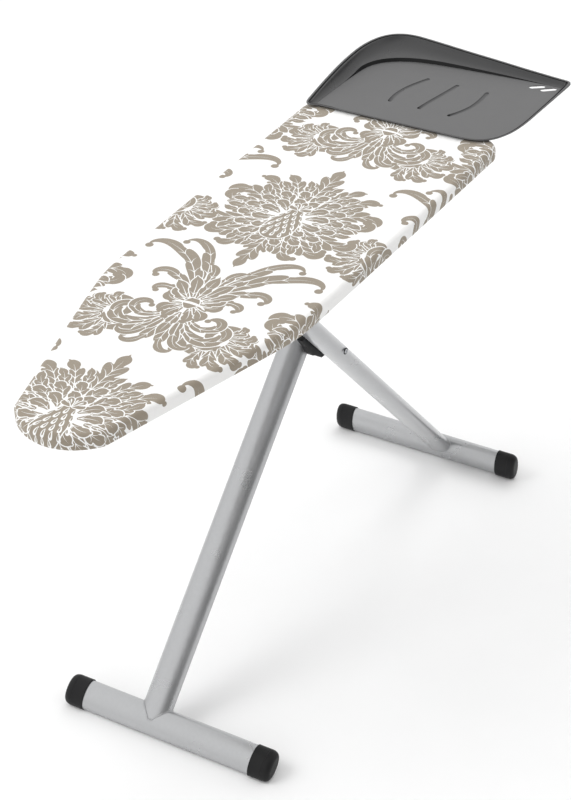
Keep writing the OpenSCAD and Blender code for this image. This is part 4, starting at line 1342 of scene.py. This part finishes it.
def build_grip():
    """A moulded handle on the lever rod: oval, waisted, with finger ribs underneath and a closed end."""
    lo, hi, mid = axis_of("lever_grip")
    cx, cz = mid[0], mid[2]
    a, b = (hi[0] - lo[0]) / 2, (hi[2] - lo[2]) / 2
    y0, y1 = lo[1], hi[1]
    L = y1 - y0
    rings = []
    ks = np.concatenate([[0, 0.004, 0.012, 0.03, 0.06], np.linspace(0.08, 0.94, 60), [0.96, 0.98, 0.992, 1.0]])
    t = np.linspace(0, 2 * np.pi, 48, endpoint=False)
    for k in ks:
        end = min(1.0, math.sqrt(max(0.0, 1 - (1 - min(k / 0.06, 1)) ** 2)) * 0.78 + 0.22) * min(1.0, 0.62 + 0.38 * math.sqrt(max(0.0, 1 - (1 - min((1 - k) / 0.05, 1)) ** 2)))
        waist = 1 - 0.07 * math.sin(math.pi * k) ** 2
        rib = 0.45 * (0.5 + 0.5 * math.cos(2 * math.pi * k * 9)) * math.sin(math.pi * min(1, max(0, (k - 0.1) / 0.8))) ** 0.5 if 0.1 < k < 0.9 else 0
        low = np.clip(-np.sin(t), 0, 1) ** 0.5
        ra, rb = a * end * waist, b * end
        rings.append(np.stack([cx + (ra - rib * low) * np.cos(t), np.full(48, y0 + L * k), cz + (rb - rib * low) * np.sin(t)], 1))
    pts, faces = loft(rings, True, (True, True))
    faces = [f[::-1] for f in faces]
    return smooth_by_angle(make("lever_handle", pts, faces, BLACK), 50)


put(build_grip(), "lever", "lever_grip", slot="black_plastic")


# ------------------------------------------------------------------ finishes of the CAD pieces that stay
FINISH = {
    "mesh_top": FRAME_GREY, "frame_rim": FRAME_GREY, "cross_stays": FRAME_GREY, "rack_channel": ZINC, "leg_bracket": ZINC,
    "hinge_nut": ZINC, "pivot_nut": ZINC, "frame_rivets": ZINC, "lever_pin": ZINC, "latch_comb": STEEL, "lever_rod": ZINC,
    "front_leg_tube": SILVER, "rear_leg_tube": SILVER, "front_foot_bar": SILVER, "rear_foot_bar": SILVER,
    "front_leg_plug": BLACK, "rear_leg_plug": BLACK, "hinge_sleeve": ZINC, "pivot_sleeve_front": ZINC, "pivot_sleeve_rear": ZINC,
    "pivot_spacer": BLACK, "slide_axle": ZINC, "slide_shoes": BLACK, "tray_straps": ZINC, "tray_screws": ZINC}
BEVEL = {"rack_channel": 0.35, "leg_bracket": 0.35, "latch_comb": 0.25, "tray_straps": 0.4, "pivot_spacer": 0.9, "hinge_nut": 0.3, "pivot_nut": 0.3,
         "cross_stays": 0.25, "frame_rim": 0.3, "front_leg_tube": 0.2, "rear_leg_tube": 0.2, "front_leg_plug": 0.4, "rear_leg_plug": 0.4,
         "tray_screws": 0.4, "frame_rivets": 0.6, "lever_pin": 0.4, "lever_rod": 0.4, "slide_shoes": 0.3, "slide_axle": 0.4}
for name, m in FINISH.items():
    o = NODE[name]
    if len(o.data.materials) == 0:
        o.data.materials.append(m)
    for i in range(len(o.material_slots)):
        o.material_slots[i].link = "DATA"
        o.data.materials[i] = m
    if name in BEVEL:
        w = o.modifiers.new("weld", "WELD")
        w.merge_threshold = 2e-6
        bv = o.modifiers.new("edge", "BEVEL")
        bv.width = BEVEL[name] * MM
        bv.segments = 2
        bv.limit_method = "ANGLE"
        bv.angle_limit = math.radians(38)
        bv.harden_normals = False


# ------------------------------------------------------------------ light and floor
def area_light(name, at, target, size, power, color=(1, 1, 1), shape="RECTANGLE", size_y=None):
    d = bpy.data.lights.new(name, "AREA")
    d.shape = shape
    d.size = size
    d.size_y = size_y or size
    d.energy = power
    d.color = color
    o = bpy.data.objects.new(name, d)
    bpy.context.scene.collection.objects.link(o)
    o.location = at
    o.rotation_mode = "QUATERNION"
    o.rotation_quaternion = (Vector(target) - Vector(at)).to_track_quat("-Z", "Y")
    o.visible_glossy = False
    return o


bpy.context.scene.view_settings.view_transform = "Standard"
bpy.context.scene.view_settings.look = "None"
area_light("key", (-2.2, 2.4, 3.8), (0, 0, 0.6), 2.4, 58)
area_light("fill", (-3.6, -1.6, 2.0), (0, 0, 0.5), 2.0, 8)
area_light("back", (2.8, 0.4, 3.0), (0.2, 0, 0.6), 1.6, 22)


def studio_world():
    """White surroundings, a little dimmer low down, with one soft dark flag that gives the tubes their stripe."""
    world = bpy.data.worlds.new("studio")
    bpy.context.scene.world = world
    world.use_nodes = True
    nt = world.node_tree
    bg = next(n for n in nt.nodes if n.type == "BACKGROUND")
    tc = nt.nodes.new("ShaderNodeTexCoord")

    def lobe(direction, a, b, lo, hi):
        dot = nt.nodes.new("ShaderNodeVectorMath")
        dot.operation = "DOT_PRODUCT"
        nt.links.new(tc.outputs["Generated"], dot.inputs[0])
        dot.inputs[1].default_value = direction
        r = nt.nodes.new("ShaderNodeMapRange")
        r.interpolation_type = "SMOOTHSTEP"
        for k, v in (("From Min", a), ("From Max", b), ("To Min", lo), ("To Max", hi)):
            r.inputs[k].default_value = v
        nt.links.new(dot.outputs["Value"], r.inputs["Value"])
        return r.outputs["Result"]

    up_ = lobe((0, 0, 1), -0.1, 0.55, 0.84, 1.07)
    flag = lobe(Vector((-0.50, -0.62, 0.60)).normalized(), 0.74, 0.985, 1.0, 0.22)
    m = nt.nodes.new("ShaderNodeMath")
    m.operation = "MULTIPLY"
    nt.links.new(up_, m.inputs[0])
    nt.links.new(flag, m.inputs[1])
    nt.links.new(m.outputs[0], bg.inputs["Strength"])
    bg.inputs["Color"].default_value = (1, 1, 1, 1)


studio_world()

floor_mat = Mat("floor", (0.9, 0.9, 0.9), 0.9)
floor_mat.color(floor_mat.ramp(floor_mat.noise(3, 3), [(0.3, (0.93, 0.93, 0.93)), (0.7, (0.95, 0.95, 0.95))]))
# seen from below the floor lets the eye through, so the underside can be looked at
back = floor_mat.node("ShaderNodeNewGeometry")
clear = floor_mat.node("ShaderNodeBsdfTransparent")
mix = floor_mat.node("ShaderNodeMixShader")
out = next(n for n in floor_mat.m.node_tree.nodes if n.type == "OUTPUT_MATERIAL")
shade = out.inputs["Surface"].links[0].from_socket
floor_mat.link(back.outputs["Backfacing"], mix.inputs[0])
floor_mat.link(shade, mix.inputs[1])
floor_mat.link(clear.outputs[0], mix.inputs[2])
floor_mat.link(mix.outputs[0], out.inputs["Surface"])
rings = [np.stack([r * np.cos(t), r * np.sin(t), np.full(96, -0.4)], 1) for t in (np.linspace(0, 2 * np.pi, 96, endpoint=False),) for r in (200, 1500, 4000, 14000)]
fp, ff = loft(rings, True, (True, False))
floor = make("floor", fp, [f[::-1] for f in ff], floor_mat.m)
